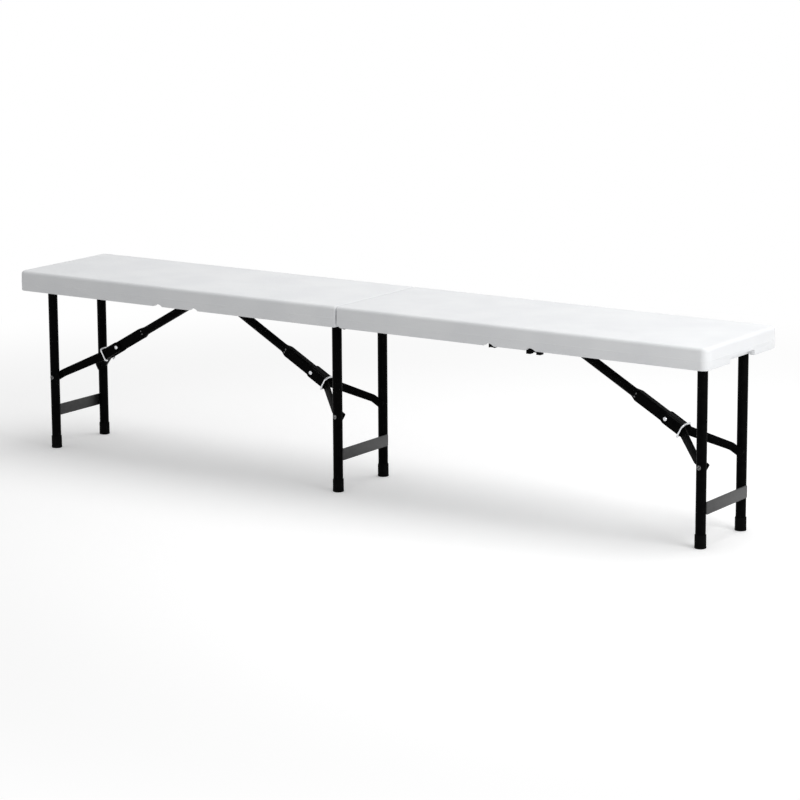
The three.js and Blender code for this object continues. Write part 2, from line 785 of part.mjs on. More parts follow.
const folding_bench = new THREE.Group();
folding_bench.add(
  benchHalf("left", Math.PI, seat.leftSeamFoot, outerRailFace, [
    ["left", endFrameX, Math.PI],
    ["middle", seamFrameX, 0],
  ]),
  benchHalf("right", 0, seat.rightSeamFoot, innerRailFace, [["right", endFrameX, Math.PI]]),
);

for (const [label, side] of [["near", -1], ["far", 1]]) {
  const pin = hingePin();
  const mesh = piece(`hinge_pin_${label}`, side > 0 ? pin : pin.rotateX(Math.PI), "zinc");
  mesh.position.z = foldAxisHeight;
  folding_bench.add(mesh);
}

const handleY = saddle.depth / 2 + gap.seat + seat.rimWidth - halfWidth;
const carryHandle = piece("carry_handle", bail(), "blackPlastic");
carryHandle.position.set(handleX, handleY, foldAxisHeight);
folding_bench.add(carryHandle);
for (const [label, end] of [["inner", -1], ["outer", 1]]) {
  const mesh = piece(`handle_saddle_${label}`, saddleBlock(saddle[label]), "blackPlastic");
  mesh.position.set(handleX + (end * handle.armSpacing) / 2, handleY, 0);
  folding_bench.add(mesh);
}

export default folding_bench;
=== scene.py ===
import json
import math

import bmesh
import bpy
from mathutils import Matrix, Vector


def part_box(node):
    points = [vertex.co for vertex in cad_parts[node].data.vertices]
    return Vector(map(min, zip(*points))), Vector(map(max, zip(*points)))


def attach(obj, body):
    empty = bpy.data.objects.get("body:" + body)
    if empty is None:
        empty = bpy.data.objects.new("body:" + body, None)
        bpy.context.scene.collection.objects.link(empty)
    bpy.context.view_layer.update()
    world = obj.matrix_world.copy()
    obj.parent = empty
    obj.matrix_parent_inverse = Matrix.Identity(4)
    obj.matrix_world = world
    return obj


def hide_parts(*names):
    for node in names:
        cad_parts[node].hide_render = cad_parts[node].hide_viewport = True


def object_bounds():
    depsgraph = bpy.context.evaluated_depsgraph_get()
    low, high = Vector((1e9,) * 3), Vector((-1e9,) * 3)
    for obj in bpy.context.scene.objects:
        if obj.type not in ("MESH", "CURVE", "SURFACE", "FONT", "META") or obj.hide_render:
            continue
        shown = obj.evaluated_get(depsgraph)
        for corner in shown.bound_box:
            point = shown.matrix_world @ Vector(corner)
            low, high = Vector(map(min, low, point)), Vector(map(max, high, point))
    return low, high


# A folding bench: white moulded seat in two halves on three black folding leg frames.
# Metres, with the seat along X and the floor at Z = 0.
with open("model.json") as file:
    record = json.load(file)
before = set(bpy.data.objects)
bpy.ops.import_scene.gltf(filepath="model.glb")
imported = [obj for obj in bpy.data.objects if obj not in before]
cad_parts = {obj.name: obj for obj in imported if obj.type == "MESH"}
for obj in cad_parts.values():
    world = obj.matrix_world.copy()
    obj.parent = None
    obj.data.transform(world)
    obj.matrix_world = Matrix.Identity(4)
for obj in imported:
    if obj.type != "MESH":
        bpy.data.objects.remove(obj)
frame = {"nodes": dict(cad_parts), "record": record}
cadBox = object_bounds()
mm = 0.001
cutSpare = 6 * mm  # how far a cutter reaches past what it cuts

for spare in [thing for thing in bpy.data.objects if thing.type in {"CAMERA", "LIGHT"}]:
    bpy.data.objects.remove(spare)
print("bench frame loaded")

# Tools for making shapes.


def fullTurn(count):
    return [2 * math.pi * i / count for i in range(count)]


def quarterTurn(steps):
    return [i / steps * math.pi / 2 for i in range(steps + 1)]


def filleted(corners, radius, steps=5, closed=False):
    # rounds each corner of a line; radius is one number or one per corner
    points = [Vector(corner) for corner in corners]
    count = len(points)
    radii = radius if isinstance(radius, (list, tuple)) else [radius] * count
    line = []
    for i, point in enumerate(points):
        atEnd = not closed and i in (0, count - 1)
        if atEnd or radii[i] <= 0:
            line.append(point)
            continue
        back = points[i - 1] - point
        ahead = points[(i + 1) % count] - point
        toBack = back.normalized()
        toAhead = ahead.normalized()
        half = toBack.angle(toAhead) / 2
        if half > math.radians(89.5):
            line.append(point)
            continue
        reach = min(radii[i] / math.tan(half), back.length * 0.49, ahead.length * 0.49)
        arcRadius = reach * math.tan(half)
        middle = point + (toBack + toAhead).normalized() * (arcRadius / math.sin(half))
        first = point + toBack * reach - middle
        last = point + toAhead * reach - middle
        sweep = first.angle(last)
        across = (last - first * math.cos(sweep)) / math.sin(sweep)
        for step in range(steps + 1):
            turn = sweep * step / steps
            line.append(middle + first * math.cos(turn) + across * math.sin(turn))
    return line


def meshFromRings(name, rings):
    # a closed skin through rings with equal counts; a ring of one point is a tip
    shape = bmesh.new()
    loops = [[shape.verts.new(point) for point in ring] for ring in rings]
    for low, high in zip(loops, loops[1:]):
        count = max(len(low), len(high))
        for i in range(count):
            j = (i + 1) % count
            corners = [low[i % len(low)], low[j % len(low)], high[j % len(high)], high[i % len(high)]]
            face = list(dict.fromkeys(corners))
            if len(face) > 2:
                shape.faces.new(face)
    for loop in (loops[0], loops[-1]):
        if len(loop) > 2:
            shape.faces.new(loop)
    bmesh.ops.recalc_face_normals(shape, faces=shape.faces)
    mesh = bpy.data.meshes.new(name)
    shape.to_mesh(mesh)
    shape.free()
    return mesh


def turnedMesh(name, profile, sides, radius=0, steps=4):
    # profile of (radius, height) pairs from foot to head, turned about Z
    line = filleted([(r, 0, z) for r, z in profile], radius, steps)
    rings = []
    for point in line:
        if point.x < 1e-6:
            rings.append([(0, 0, point.z)])
            continue
        rings.append([(point.x * math.cos(a), point.x * math.sin(a), point.z) for a in fullTurn(sides)])
    return meshFromRings(name, rings)


def shaftMesh(name, radius, low, high, sides, tipRound=0):
    # a plain shaft along Z
    profile = [(0, low), (radius, low), (radius, high), (0, high)]
    return turnedMesh(name, profile, sides, [0, tipRound, tipRound, 0], 3)


def pipeMesh(name, route, radius, sides):
    # a round wire along a route, with its ends slightly rounded
    tip = 0.35
    points = [Vector(point) for point in route]
    along = [(b - a).normalized() for a, b in zip(points, points[1:])]
    tangents = [along[0]] + [(a + b).normalized() for a, b in zip(along, along[1:])] + [along[-1]]
    normal = tangents[0].orthogonal().normalized()
    rings = []

    def hoopAt(centre, tangent, size):
        side = tangent.cross(normal)
        rings.append([centre + (normal * math.cos(a) + side * math.sin(a)) * size for a in fullTurn(sides)])

    hoopAt(points[0], tangents[0], radius * (1 - tip))
    hoopAt(points[0] + tangents[0] * radius * tip, tangents[0], radius)
    for point, tangent in list(zip(points, tangents))[1:-1]:
        normal = (normal - tangent * normal.dot(tangent)).normalized()
        hoopAt(point, tangent, radius)
    normal = (normal - tangents[-1] * normal.dot(tangents[-1])).normalized()
    hoopAt(points[-1] - tangents[-1] * radius * tip, tangents[-1], radius)
    hoopAt(points[-1], tangents[-1], radius * (1 - tip))
    return meshFromRings(name, rings)


def slabMesh(name, outline, start, end, axis):
    # a flat plate: an outline of (a, b) pairs pushed from start to end along an axis
    places = {
        "X": lambda a, b, c: (c, a, b),
        "Y": lambda a, b, c: (a, c, b),
        "Z": lambda a, b, c: (a, b, c),
    }
    place = places[axis]
    return meshFromRings(name, [[place(p[0], p[1], depth) for p in outline] for depth in (start, end)])


def joinedMesh(name, meshes):
    shape = bmesh.new()
    for mesh in meshes:
        shape.from_mesh(mesh)
    whole = bpy.data.meshes.new(name)
    shape.to_mesh(whole)
    shape.free()
    return whole


def bakedMesh(name, mesh, modifiers):
    # runs modifiers on a scratch object and keeps the resulting mesh
    scratch = bpy.data.objects.new("scratch", mesh)
    bpy.context.scene.collection.objects.link(scratch)
    for kind, settings in modifiers:
        modifier = scratch.modifiers.new(kind.lower(), kind)
        for setting, value in settings.items():
            setattr(modifier, setting, value)
    graph = bpy.context.evaluated_depsgraph_get()
    result = bpy.data.meshes.new_from_object(scratch.evaluated_get(graph))
    result.name = name
    bpy.data.objects.remove(scratch)
    return result


def combined(name, mesh, others, operation="DIFFERENCE"):
    # cuts other meshes out of a mesh, or joins them to it
    scraps = []
    modifiers = []
    for other in others:
        scrap = bpy.data.objects.new("scrap", other)
        bpy.context.scene.collection.objects.link(scrap)
        scraps.append(scrap)
        modifiers.append(("BOOLEAN", {"operation": operation, "solver": "EXACT", "object": scrap}))
    result = bakedMesh(name, mesh, modifiers)
    for scrap in scraps:
        bpy.data.objects.remove(scrap)
    return result


def eased(name, mesh, width, angle=40):
    # breaks the sharp edges with a small round
    bevel = {
        "width": width,
        "segments": 2,
        "limit_method": "ANGLE",
        "angle_limit": math.radians(angle),
        "harden_normals": False,
    }
    return bakedMesh(name, mesh, [("BEVEL", bevel)])


def moved(mesh, matrix):
    mesh.transform(matrix)
    if matrix.determinant() < 0:
        mesh.flip_normals()
    mesh.update()
    return mesh


# Finishes.

def newGroup(name, inputs, outputs):
    group = bpy.data.node_groups.new(name, "ShaderNodeTree")
    for label, kind, value in inputs:
        socket = group.interface.new_socket(name=label, in_out="INPUT", socket_type=kind)
        if value is not None:
            socket.default_value = value
    for label, kind in outputs:
        group.interface.new_socket(name=label, in_out="OUTPUT", socket_type=kind)
    start = group.nodes.new("NodeGroupInput")
    end = group.nodes.new("NodeGroupOutput")
    return group, start, end


def addNode(tree, kind, values=None, **settings):
    node = tree.nodes.new(kind)
    for setting, value in settings.items():
        setattr(node, setting, value)
    for socket, value in (values or {}).items():
        node.inputs[socket].default_value = value
    return node


def objectPlace(tree):
    return addNode(tree, "ShaderNodeTexCoord").outputs["Object"]


def buildFineGrain():
    # two sizes of noise: a fine grain and a slow swell, as a height from 0 to 1
    group, start, end = newGroup(
        "fineGrain",
        [
            ("Vector", "NodeSocketVector", None),
            ("Grain Size", "NodeSocketFloat", 900.0),
            ("Swell Size", "NodeSocketFloat", 40.0),
            ("Swell Share", "NodeSocketFloat", 0.3),
        ],
        [("Height", "NodeSocketFloat"), ("Swell", "NodeSocketFloat")],
    )
    links = group.links
    grain = addNode(group, "ShaderNodeTexNoise", {"Detail": 3.0, "Roughness": 0.6})
    swell = addNode(group, "ShaderNodeTexNoise", {"Detail": 2.0, "Roughness": 0.5})
    blend = addNode(group, "ShaderNodeMix", data_type="FLOAT")
    links.new(start.outputs["Vector"], grain.inputs["Vector"])
    links.new(start.outputs["Vector"], swell.inputs["Vector"])
    links.new(start.outputs["Grain Size"], grain.inputs["Scale"])
    links.new(start.outputs["Swell Size"], swell.inputs["Scale"])
    links.new(start.outputs["Swell Share"], blend.inputs["Factor"])
    links.new(grain.outputs["Fac"], blend.inputs["A"])
    links.new(swell.outputs["Fac"], blend.inputs["B"])
    links.new(blend.outputs["Result"], end.inputs["Height"])
    links.new(swell.outputs["Fac"], end.inputs["Swell"])
    return group


def buildScuffs():
    # short fine scratches in two directions, as a mask
    group, start, end = newGroup(
        "scuffs",
        [
            ("Vector", "NodeSocketVector", None),
            ("Size", "NodeSocketFloat", 60.0),
            ("Stretch", "NodeSocketFloat", 14.0),
            ("Rarity", "NodeSocketFloat", 0.66),
        ],
        [("Mask", "NodeSocketFloat")],
    )
    links = group.links
    previous = None
    for turn in (0.5, -0.9):
        spin = addNode(group, "ShaderNodeMapping", {"Rotation": (turn, turn * 0.4, turn)})
        squeeze = addNode(group, "ShaderNodeCombineXYZ", {"X": 1.0, "Z": 1.0})
        stretched = addNode(group, "ShaderNodeVectorMath", operation="MULTIPLY")
        noise = addNode(group, "ShaderNodeTexNoise", {"Detail": 4.0, "Roughness": 0.7})
        edge = addNode(group, "ShaderNodeMapRange", {"To Min": 0.0, "To Max": 1.0}, clamp=True)
        top = addNode(group, "ShaderNodeMath", {1: 0.08}, operation="ADD")
        links.new(start.outputs["Vector"], spin.inputs["Vector"])
        links.new(start.outputs["Stretch"], squeeze.inputs["Y"])
        links.new(spin.outputs["Vector"], stretched.inputs[0])
        links.new(squeeze.outputs["Vector"], stretched.inputs[1])
        links.new(stretched.outputs["Vector"], noise.inputs["Vector"])
        links.new(start.outputs["Size"], noise.inputs["Scale"])
        links.new(start.outputs["Rarity"], top.inputs[0])
        links.new(noise.outputs["Fac"], edge.inputs["Value"])
        links.new(start.outputs["Rarity"], edge.inputs["From Min"])
        links.new(top.outputs["Value"], edge.inputs["From Max"])
        if previous is None:
            previous = edge
            continue
        most = addNode(group, "ShaderNodeMath", operation="MAXIMUM")
        links.new(previous.outputs["Result"], most.inputs[0])
        links.new(edge.outputs["Result"], most.inputs[1])
        links.new(most.outputs["Value"], end.inputs["Mask"])
    return group


def buildToneDrift():
    # lets a colour drift between two tones over a soft pattern, with scuffs on top
    group, start, end = newGroup(
        "toneDrift",
        [
            ("Pattern", "NodeSocketFloat", 0.5),
            ("Tone", "NodeSocketColor", (0.8, 0.8, 0.8, 1)),
            ("Other Tone", "NodeSocketColor", (0.7, 0.7, 0.7, 1)),
            ("Scuff Tone", "NodeSocketColor", (0.6, 0.6, 0.6, 1)),
            ("Scuff", "NodeSocketFloat", 0.0),
            ("Scuff Strength", "NodeSocketFloat", 0.3),
        ],
        [("Color", "NodeSocketColor")],
    )
    links = group.links
    soft = addNode(group, "ShaderNodeMapRange", {"From Min": 0.35, "From Max": 0.65})
    drift = addNode(group, "ShaderNodeMix", data_type="RGBA")
    amount = addNode(group, "ShaderNodeMath", operation="MULTIPLY")
    marked = addNode(group, "ShaderNodeMix", data_type="RGBA")
    links.new(start.outputs["Pattern"], soft.inputs["Value"])
    links.new(soft.outputs["Result"], drift.inputs["Factor"])
    links.new(start.outputs["Tone"], drift.inputs["A"])
    links.new(start.outputs["Other Tone"], drift.inputs["B"])
    links.new(start.outputs["Scuff"], amount.inputs[0])
    links.new(start.outputs["Scuff Strength"], amount.inputs[1])
    links.new(amount.outputs["Value"], marked.inputs["Factor"])
    links.new(drift.outputs["Result"], marked.inputs["A"])
    links.new(start.outputs["Scuff Tone"], marked.inputs["B"])
    links.new(marked.outputs["Result"], end.inputs["Color"])
    return group


fineGrain = buildFineGrain()
scuffs = buildScuffs()
toneDrift = buildToneDrift()

finishes = {
    "whitePlastic": {
        "slot": "white_plastic",
        "tone": (0.80, 0.81, 0.82, 1),
        "otherTone": (0.76, 0.77, 0.785, 1),
        "scuffTone": (0.62, 0.62, 0.62, 1),
        "scuffStrength": 0.10,
        "scuffRarity": 0.70,
        "grainSize": 700.0,
        "swellSize": 9.0,
        "swellShare": 0.12,
        "bump": 0.16,
        "bumpDistance": 0.0006,
        "roughness": (0.46, 0.58),
        "metallic": 0.0,
        "specular": 0.45,
    },
    "blackPaint": {
        "slot": "black_paint",
        "tone": (0.0014, 0.0014, 0.0015, 1),
        "otherTone": (0.0026, 0.0026, 0.0027, 1),
        "scuffTone": (0.02, 0.02, 0.02, 1),
        "scuffStrength": 0.2,
        "scuffRarity": 0.69,
        "grainSize": 420.0,
        "swellSize": 90.0,
        "swellShare": 0.35,
        "bump": 0.12,
        "bumpDistance": 0.0004,
        "roughness": (0.34, 0.46),
        "metallic": 0.0,
        "specular": 0.015,
    },
    # a lighter copy of the black paint for the crossbars; the lighter tone is painted sheen, standing in for
    # the bright surroundings reflected in their flat faces
    "stripPaintWithPaintedSheen": {
        "slot": "black_paint",
        "tone": (0.02, 0.02, 0.0205, 1),
        "otherTone": (0.028, 0.028, 0.0285, 1),
        "scuffTone": (0.06, 0.06, 0.06, 1),
        "scuffStrength": 0.25,
        "scuffRarity": 0.69,
        "grainSize": 420.0,
        "swellSize": 90.0,
        "swellShare": 0.35,
        "bump": 0.08,
        "bumpDistance": 0.0004,
        "roughness": (0.4, 0.5),
        "metallic": 0.0,
        "specular": 0.5,
    },
    "blackPlastic": {
        "slot": "black_plastic",
        "tone": (0.0018, 0.0018, 0.0018, 1),
        "otherTone": (0.003, 0.003, 0.003, 1),
        "scuffTone": (0.03, 0.03, 0.03, 1),
        "scuffStrength": 0.3,
        "scuffRarity": 0.66,
        "grainSize": 800.0,
        "swellSize": 60.0,
        "swellShare": 0.2,
        "bump": 0.25,
        "bumpDistance": 0.0005,
        "roughness": (0.55, 0.7),
        "metallic": 0.0,
        "specular": 0.03,
    },
    # black paint with heavy light scuffs for the rivets and pressed marks; the light scuff colour is partly
    # wear and partly painted glints
    "wornPaintAndPaintedGlints": {
        "slot": "black_paint",
        "tone": (0.006, 0.006, 0.006, 1),
        "otherTone": (0.03, 0.03, 0.031, 1),
        "scuffTone": (0.5, 0.5, 0.5, 1),
        "scuffStrength": 0.8,
        "scuffRarity": 0.54,
        "grainSize": 900.0,
        "swellSize": 320.0,
        "swellShare": 0.4,
        "bump": 0.2,
        "bumpDistance": 0.0004,
        "roughness": (0.2, 0.34),
        "metallic": 0.0,
        "specular": 0.7,
    },
    "zinc": {
        "slot": "zinc",
        "tone": (0.84, 0.85, 0.87, 1),
        "otherTone": (0.68, 0.69, 0.71, 1),
        "scuffTone": (0.35, 0.35, 0.35, 1),
        "scuffStrength": 0.4,
        "scuffRarity": 0.62,
        "grainSize": 1200.0,
        "swellSize": 260.0,
        "swellShare": 0.4,
        "bump": 0.1,
        "bumpDistance": 0.0003,
        "roughness": (0.2, 0.36),
        "metallic": 1.0,
        "specular": 0.5,
    },
}


def buildFinish(name, look):
    material = bpy.data.materials.new(name)
    material.use_nodes = True
    tree = material.node_tree
    links = tree.links
    shader = tree.nodes["Principled BSDF"]
    shader.inputs["Metallic"].default_value = look["metallic"]
    shader.inputs["Specular IOR Level"].default_value = look["specular"]
    place = objectPlace(tree)
    grain = addNode(tree, "ShaderNodeGroup", node_tree=fineGrain)
    grain.inputs["Grain Size"].default_value = look["grainSize"]
    grain.inputs["Swell Size"].default_value = look["swellSize"]
    grain.inputs["Swell Share"].default_value = look["swellShare"]
    marks = addNode(tree, "ShaderNodeGroup", node_tree=scuffs)
    marks.inputs["Rarity"].default_value = look["scuffRarity"]
    tint = addNode(tree, "ShaderNodeGroup", node_tree=toneDrift)
    tint.inputs["Tone"].default_value = look["tone"]
    tint.inputs["Other Tone"].default_value = look["otherTone"]
    tint.inputs["Scuff Tone"].default_value = look["scuffTone"]
    tint.inputs["Scuff Strength"].default_value = look["scuffStrength"]
    low, high = look["roughness"]
    shineRange = {"From Min": 0.3, "From Max": 0.7, "To Min": low, "To Max": high}
    shine = addNode(tree, "ShaderNodeMapRange", shineRange)
    bump = addNode(tree, "ShaderNodeBump", {"Strength": look["bump"], "Distance": look["bumpDistance"]})
    links.new(place, grain.inputs["Vector"])
    links.new(place, marks.inputs["Vector"])
    links.new(grain.outputs["Swell"], tint.inputs["Pattern"])
    links.new(marks.outputs["Mask"], tint.inputs["Scuff"])
    links.new(tint.outputs["Color"], shader.inputs["Base Color"])
    links.new(grain.outputs["Height"], shine.inputs["Value"])
    links.new(shine.outputs["Result"], shader.inputs["Roughness"])
    links.new(grain.outputs["Height"], bump.inputs["Height"])
    links.new(bump.outputs["Normal"], shader.inputs["Normal"])
    return material


materials = {name: buildFinish(name, look) for name, look in finishes.items()}
print("finishes made")

# Where things are, read from the frame.

seat = {
    "length": (cadBox[1] - cadBox[0]).x,
    "width": (cadBox[1] - cadBox[0]).y,
    "height": cadBox[1].z,
    "thickness": 47 * mm,
    "endInset": 45 * mm,
    "pivotAboveSkirt": 17.5 * mm,
    "foldBelowSkirt": 1 * mm,
    "seamGap": 3 * mm,
}
halfLength = seat["length"] / 2
halfWidth = seat["width"] / 2
halfMiddle = halfLength / 2
seamFace = seat["seamGap"] / 2
skirtBottom = seat["height"] - seat["thickness"]
pivotHeight = skirtBottom + seat["pivotAboveSkirt"]
foldHeight = skirtBottom - seat["foldBelowSkirt"]

turnRound = Matrix.Rotation(math.pi, 4, "Z")
halves = {"left": turnRound, "right": Matrix.Identity(4)}
legFrames = {
    "left": {"half": "left", "x": halfLength - seat["endInset"], "turn": turnRound},
    "middle": {"half": "left", "x": seat["endInset"], "turn": Matrix.Identity(4)},
    "right": {"half": "right", "x": halfLength - seat["endInset"], "turn": turnRound},
}


def frameMatrix(name):
    spec = legFrames[name]
    place = Matrix.Translation((spec["x"], 0, pivotHeight)) @ spec["turn"]
    return halves[spec["half"]] @ place


def sideName(matrix, side):
    return "far" if (matrix.to_3x3() @ Vector((0, side, 0))).y > 0 else "near"


def addPiece(name, mesh, finish, body, *nodes, sharp=38):
    mesh.shade_smooth()
    mesh.set_sharp_from_angle(angle=math.radians(sharp))
    mesh.materials.clear()
    mesh.materials.append(materials[finish])
    thing = bpy.data.objects.new(name, mesh)
    bpy.context.scene.collection.objects.link(thing)
    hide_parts(*nodes)
    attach(thing, body)
    return thing


# Seat halves.

seatShape = {
    "rimWidth": 14 * mm,
    "recessDepth": 30.5 * mm,
    "endCorner": 17 * mm,
    "seamCorner": 4 * mm,
    "recessCorner": 8 * mm,
    "topRound": 8 * mm,
    "bottomRound": 1.6 * mm,
    "deckFillet": 2.5 * mm,
    "upperDraft": 0.9 * mm,
    "lowerDraft": 0.6 * mm,
    "partingBelowTop": 27 * mm,
    "partingRidge": 0.3 * mm,
    "partingHalf": 0.7 * mm,
    "seamFoot": {"left": 5 * mm, "right": 17 * mm},
    "cornerSteps": 10,
}
notchShape = {"width": 108 * mm, "height": 12 * mm, "corner": 5 * mm, "mouthRound": 1.6 * mm}
webShape = {
    "behindEnd": 19 * mm,
    "sheet": 2.6 * mm,
    "halfWidth": 76 * mm,
    "aboveSkirt": 0.4 * mm,
    "intoDeck": 2 * mm,
    "edgeRound": 1.2 * mm,
}
scallopShape = {"width": 26 * mm, "depth": 6 * mm, "spacing": 103 * mm, "towardSeam": 11 * mm}
grooveShape = {
    "width": 44 * mm,
    "depth": 6.2 * mm,
    "endInset": 55 * mm,
    "seamInset": 58 * mm,
    "corner": 4 * mm,
    "mouthEase": 1.5 * mm,
}
dentShape = {
    "mouth": 12 * mm,
    "floor": 7 * mm,
    "depth": 10 * mm,
    "floorRound": 2 * mm,
    "columns": 11,
    "rowShares": (0.304, 0.582),
    "endInset": 82 * mm,
}
slotShape = {"inner": 111 * mm, "outer": 130 * mm}


def planRing(z, limits, inset, seamRadius, endRadius, seamShare=1.0):
    # one level of a seat half's outline, with its own corners at the seam and at the end
    x0 = limits[0] + inset * seamShare
    x1 = limits[1] - inset
    y = limits[2] - inset
    least = 0.8 * mm
    seamReach = max(seamRadius - inset, least)
    endReach = max(endRadius - inset, least)
    corners = [
        (x1 - endReach, endReach - y, endReach, -math.pi / 2),
        (x1 - endReach, y - endReach, endReach, 0),
        (x0 + seamReach, y - seamReach, seamReach, math.pi / 2),
        (x0 + seamReach, seamReach - y, seamReach, math.pi),
    ]
    ring = []
    for cx, cy, reach, start in corners:
        for turn in quarterTurn(seatShape["cornerSteps"]):
            angle = start + turn
            ring.append((cx + reach * math.cos(angle), cy + reach * math.sin(angle), z))
    return ring


def seatSkin():
    # from the deck over the rim, up the skirt with its parting line, to the top
    shape = seatShape
    top = seat["height"]
    bottom = skirtBottom
    deck = bottom + shape["recessDepth"]
    parting = top - shape["partingBelowTop"]
    outerLimits = (seamFace, halfLength, halfWidth)
    rim = shape["rimWidth"]
    innerLimits = (seamFace + rim, halfLength - rim, halfWidth - rim)
    corner = shape["recessCorner"]

    def outer(z, inset):
        return planRing(z, outerLimits, inset, shape["seamCorner"], shape["endCorner"], 0.5)

    def inner(z, inset):
        return planRing(z, innerLimits, inset, corner, corner)

    rings = []
    fillet = shape["deckFillet"]
    for angle in quarterTurn(4):
        rings.append(inner(deck - fillet * (1 - math.cos(angle)), fillet * (1 - math.sin(angle))))
    small = shape["bottomRound"]
    for angle in quarterTurn(3):
        rings.append(inner(bottom + small * (1 - math.sin(angle)), -small * (1 - math.cos(angle))))
    for angle in quarterTurn(3):
        inset = shape["lowerDraft"] + small * (1 - math.sin(angle))
        rings.append(outer(bottom + small * (1 - math.cos(angle)), inset))
    ridge, reach = shape["partingRidge"], shape["partingHalf"]
    rings += [
        outer(parting - reach * 1.6, ridge),
        outer(parting - reach, ridge * 0.9),
        outer(parting - reach * 0.3, 0.02 * mm),
        outer(parting + reach * 0.3, 0),
        outer(parting + reach, ridge * 0.9),
        outer(parting + reach * 1.6, ridge),
    ]
    radius = shape["topRound"]
    for angle in quarterTurn(10):
        inset = shape["upperDraft"] + radius * (1 - math.cos(angle))
        rings.append(outer(top - radius + radius * math.sin(angle), inset))
    return meshFromRings("seatSkin", rings)


def seatCutters(side):
    spare = cutSpare
    deck = skirtBottom + seatShape["recessDepth"]
    cutters = []

    # finger notch in the end wall, with a rounded mouth
    half = notchShape["width"] / 2
    wall = halfLength - seatShape["rimWidth"]
    mouth = notchShape["mouthRound"]
    under = skirtBottom - notchShape["height"]
    rings = []
    for x, grow in (
        (wall - spare, mouth),
        (wall, mouth),
        (wall + mouth * 0.35, mouth * 0.35),
        (wall + mouth, 0),
        (halfLength - mouth, 0),
        (halfLength - mouth * 0.35, mouth * 0.35),
        (halfLength, mouth),
        (halfLength + spare, mouth),
    ):
        wide, ceiling = half + grow, skirtBottom + notchShape["height"] + grow
        corners = [(-wide, under, 0), (wide, under, 0), (wide, ceiling, 0), (-wide, ceiling, 0)]
        outline = filleted(corners, notchShape["corner"], closed=True)
        rings.append([(x, point.x, point.y) for point in outline])
    cutters.append(meshFromRings("notch", rings))

    # rounded foot of the seam wall
    radius = seatShape["seamFoot"][side]
    arc = [math.radians(270 - 9 * i) for i in range(11)]
    foot = [(seamFace - spare, skirtBottom - spare), (seamFace + radius, skirtBottom - spare)]
    foot += [
        (seamFace + radius + radius * math.cos(a), skirtBottom + radius + radius * math.sin(a)) for a in arc
    ]
    foot.append((seamFace - spare, skirtBottom + radius))
    cutters.append(slabMesh("seamFoot", foot, -halfWidth - spare, halfWidth + spare, "Y"))

    # hollows for the handle's arms, on the near side of both halves
    nearSide = -1 if side == "right" else 1
    depth = scallopShape["depth"]
    bow = ((scallopShape["width"] / 2) ** 2 + depth**2) / (2 * depth)
    for end in (-1, 1):
        x = halfMiddle - scallopShape["towardSeam"] + end * scallopShape["spacing"] / 2
        inner = nearSide * (halfWidth - seatShape["rimWidth"] - spare)
        outer = nearSide * (halfWidth + spare)
        disc = [(x + bow * math.cos(a), skirtBottom + depth - bow + bow * math.sin(a)) for a in fullTurn(72)]
        cutters.append(slabMesh("scallop", disc, min(inner, outer), max(inner, outer), "Y"))

    # slots in the seam wall for the hinge ends of the rails
    for end in (-1, 1):
        low, high = sorted((end * slotShape["inner"], end * slotShape["outer"]))
        reach = seamFace + seatShape["rimWidth"] + spare
        outline = [(-spare, low), (reach, low), (reach, high), (-spare, high)]
        cutters.append(slabMesh("slot", outline, skirtBottom - spare, deck, "Z"))

    # groove over the brace, then the moulded dents, both sunk into the deck
    half = grooveShape["width"] / 2
    ease = grooveShape["mouthEase"]
    ceiling = deck + grooveShape["depth"]
    rings = []
    for z, inset in (
        (deck - spare, -ease),
        (deck, -ease),
        (deck + ease * 0.4, -ease * 0.3),
        (deck + ease, 0),
        (ceiling - ease, 0),
        (ceiling, ease),
    ):
        x0 = grooveShape["seamInset"] + inset
        x1 = halfLength - grooveShape["endInset"] - inset
        y = half - inset
        corners = [(x0, -y, z), (x1, -y, z), (x1, y, z), (x0, y, z)]
        rings.append(filleted(corners, grooveShape["corner"], closed=True))
    cutters.append(meshFromRings("groove", rings))

    pitch = (halfLength - dentShape["endInset"] * 2) / (dentShape["columns"] - 1)
    mouthRadius, floorRadius, depth = dentShape["mouth"], dentShape["floor"], dentShape["depth"]
    profile = [
        (0, -spare),
        (mouthRadius, -spare),
        (mouthRadius, 0),
        (floorRadius, depth),
        (0, depth),
    ]
    rounds = [0, 0, dentShape["floorRound"], dentShape["floorRound"], 0]
    dents = []
    for row in (share * halfWidth for share in dentShape["rowShares"]):
        for y in (-row, row):
            for i in range(dentShape["columns"]):
                cone = turnedMesh("dent", profile, 28, rounds, 3)
                dents.append(moved(cone, Matrix.Translation((dentShape["endInset"] + i * pitch, y, deck))))
    cutters.append(joinedMesh("dents", dents))
    return cutters


def notchWebMesh():
    # the web across the recess behind the finger notch, which makes the notch a pocket
    shape = webShape
    outerX = halfLength - shape["behindEnd"]
    innerX = outerX - shape["sheet"]
    low = skirtBottom + shape["aboveSkirt"]
    high = skirtBottom + seatShape["recessDepth"] + shape["intoDeck"]
    corners = [(innerX, low, 0), (outerX, low, 0), (outerX, high, 0), (innerX, high, 0)]
    outline = [(point.x, point.y) for point in filleted(corners, shape["edgeRound"], closed=True)]
    return slabMesh("notchWeb", outline, -shape["halfWidth"], shape["halfWidth"], "Y")


def makeSeat():
    for side, matrix in halves.items():
        node = f"seat_half_{side}"
        web = moved(notchWebMesh(), matrix)
        addPiece(f"notchWeb_{side}", web, "whitePlastic", f"seat_{side}", node, sharp=32)
        mesh = combined(f"seatHalf_{side}", seatSkin(), seatCutters(side))
        addPiece(f"seatHalf_{side}", moved(mesh, matrix), "whitePlastic", f"seat_{side}", node, sharp=32)
    print("seat halves made")


# Legs, foot caps, crossbars and rods.

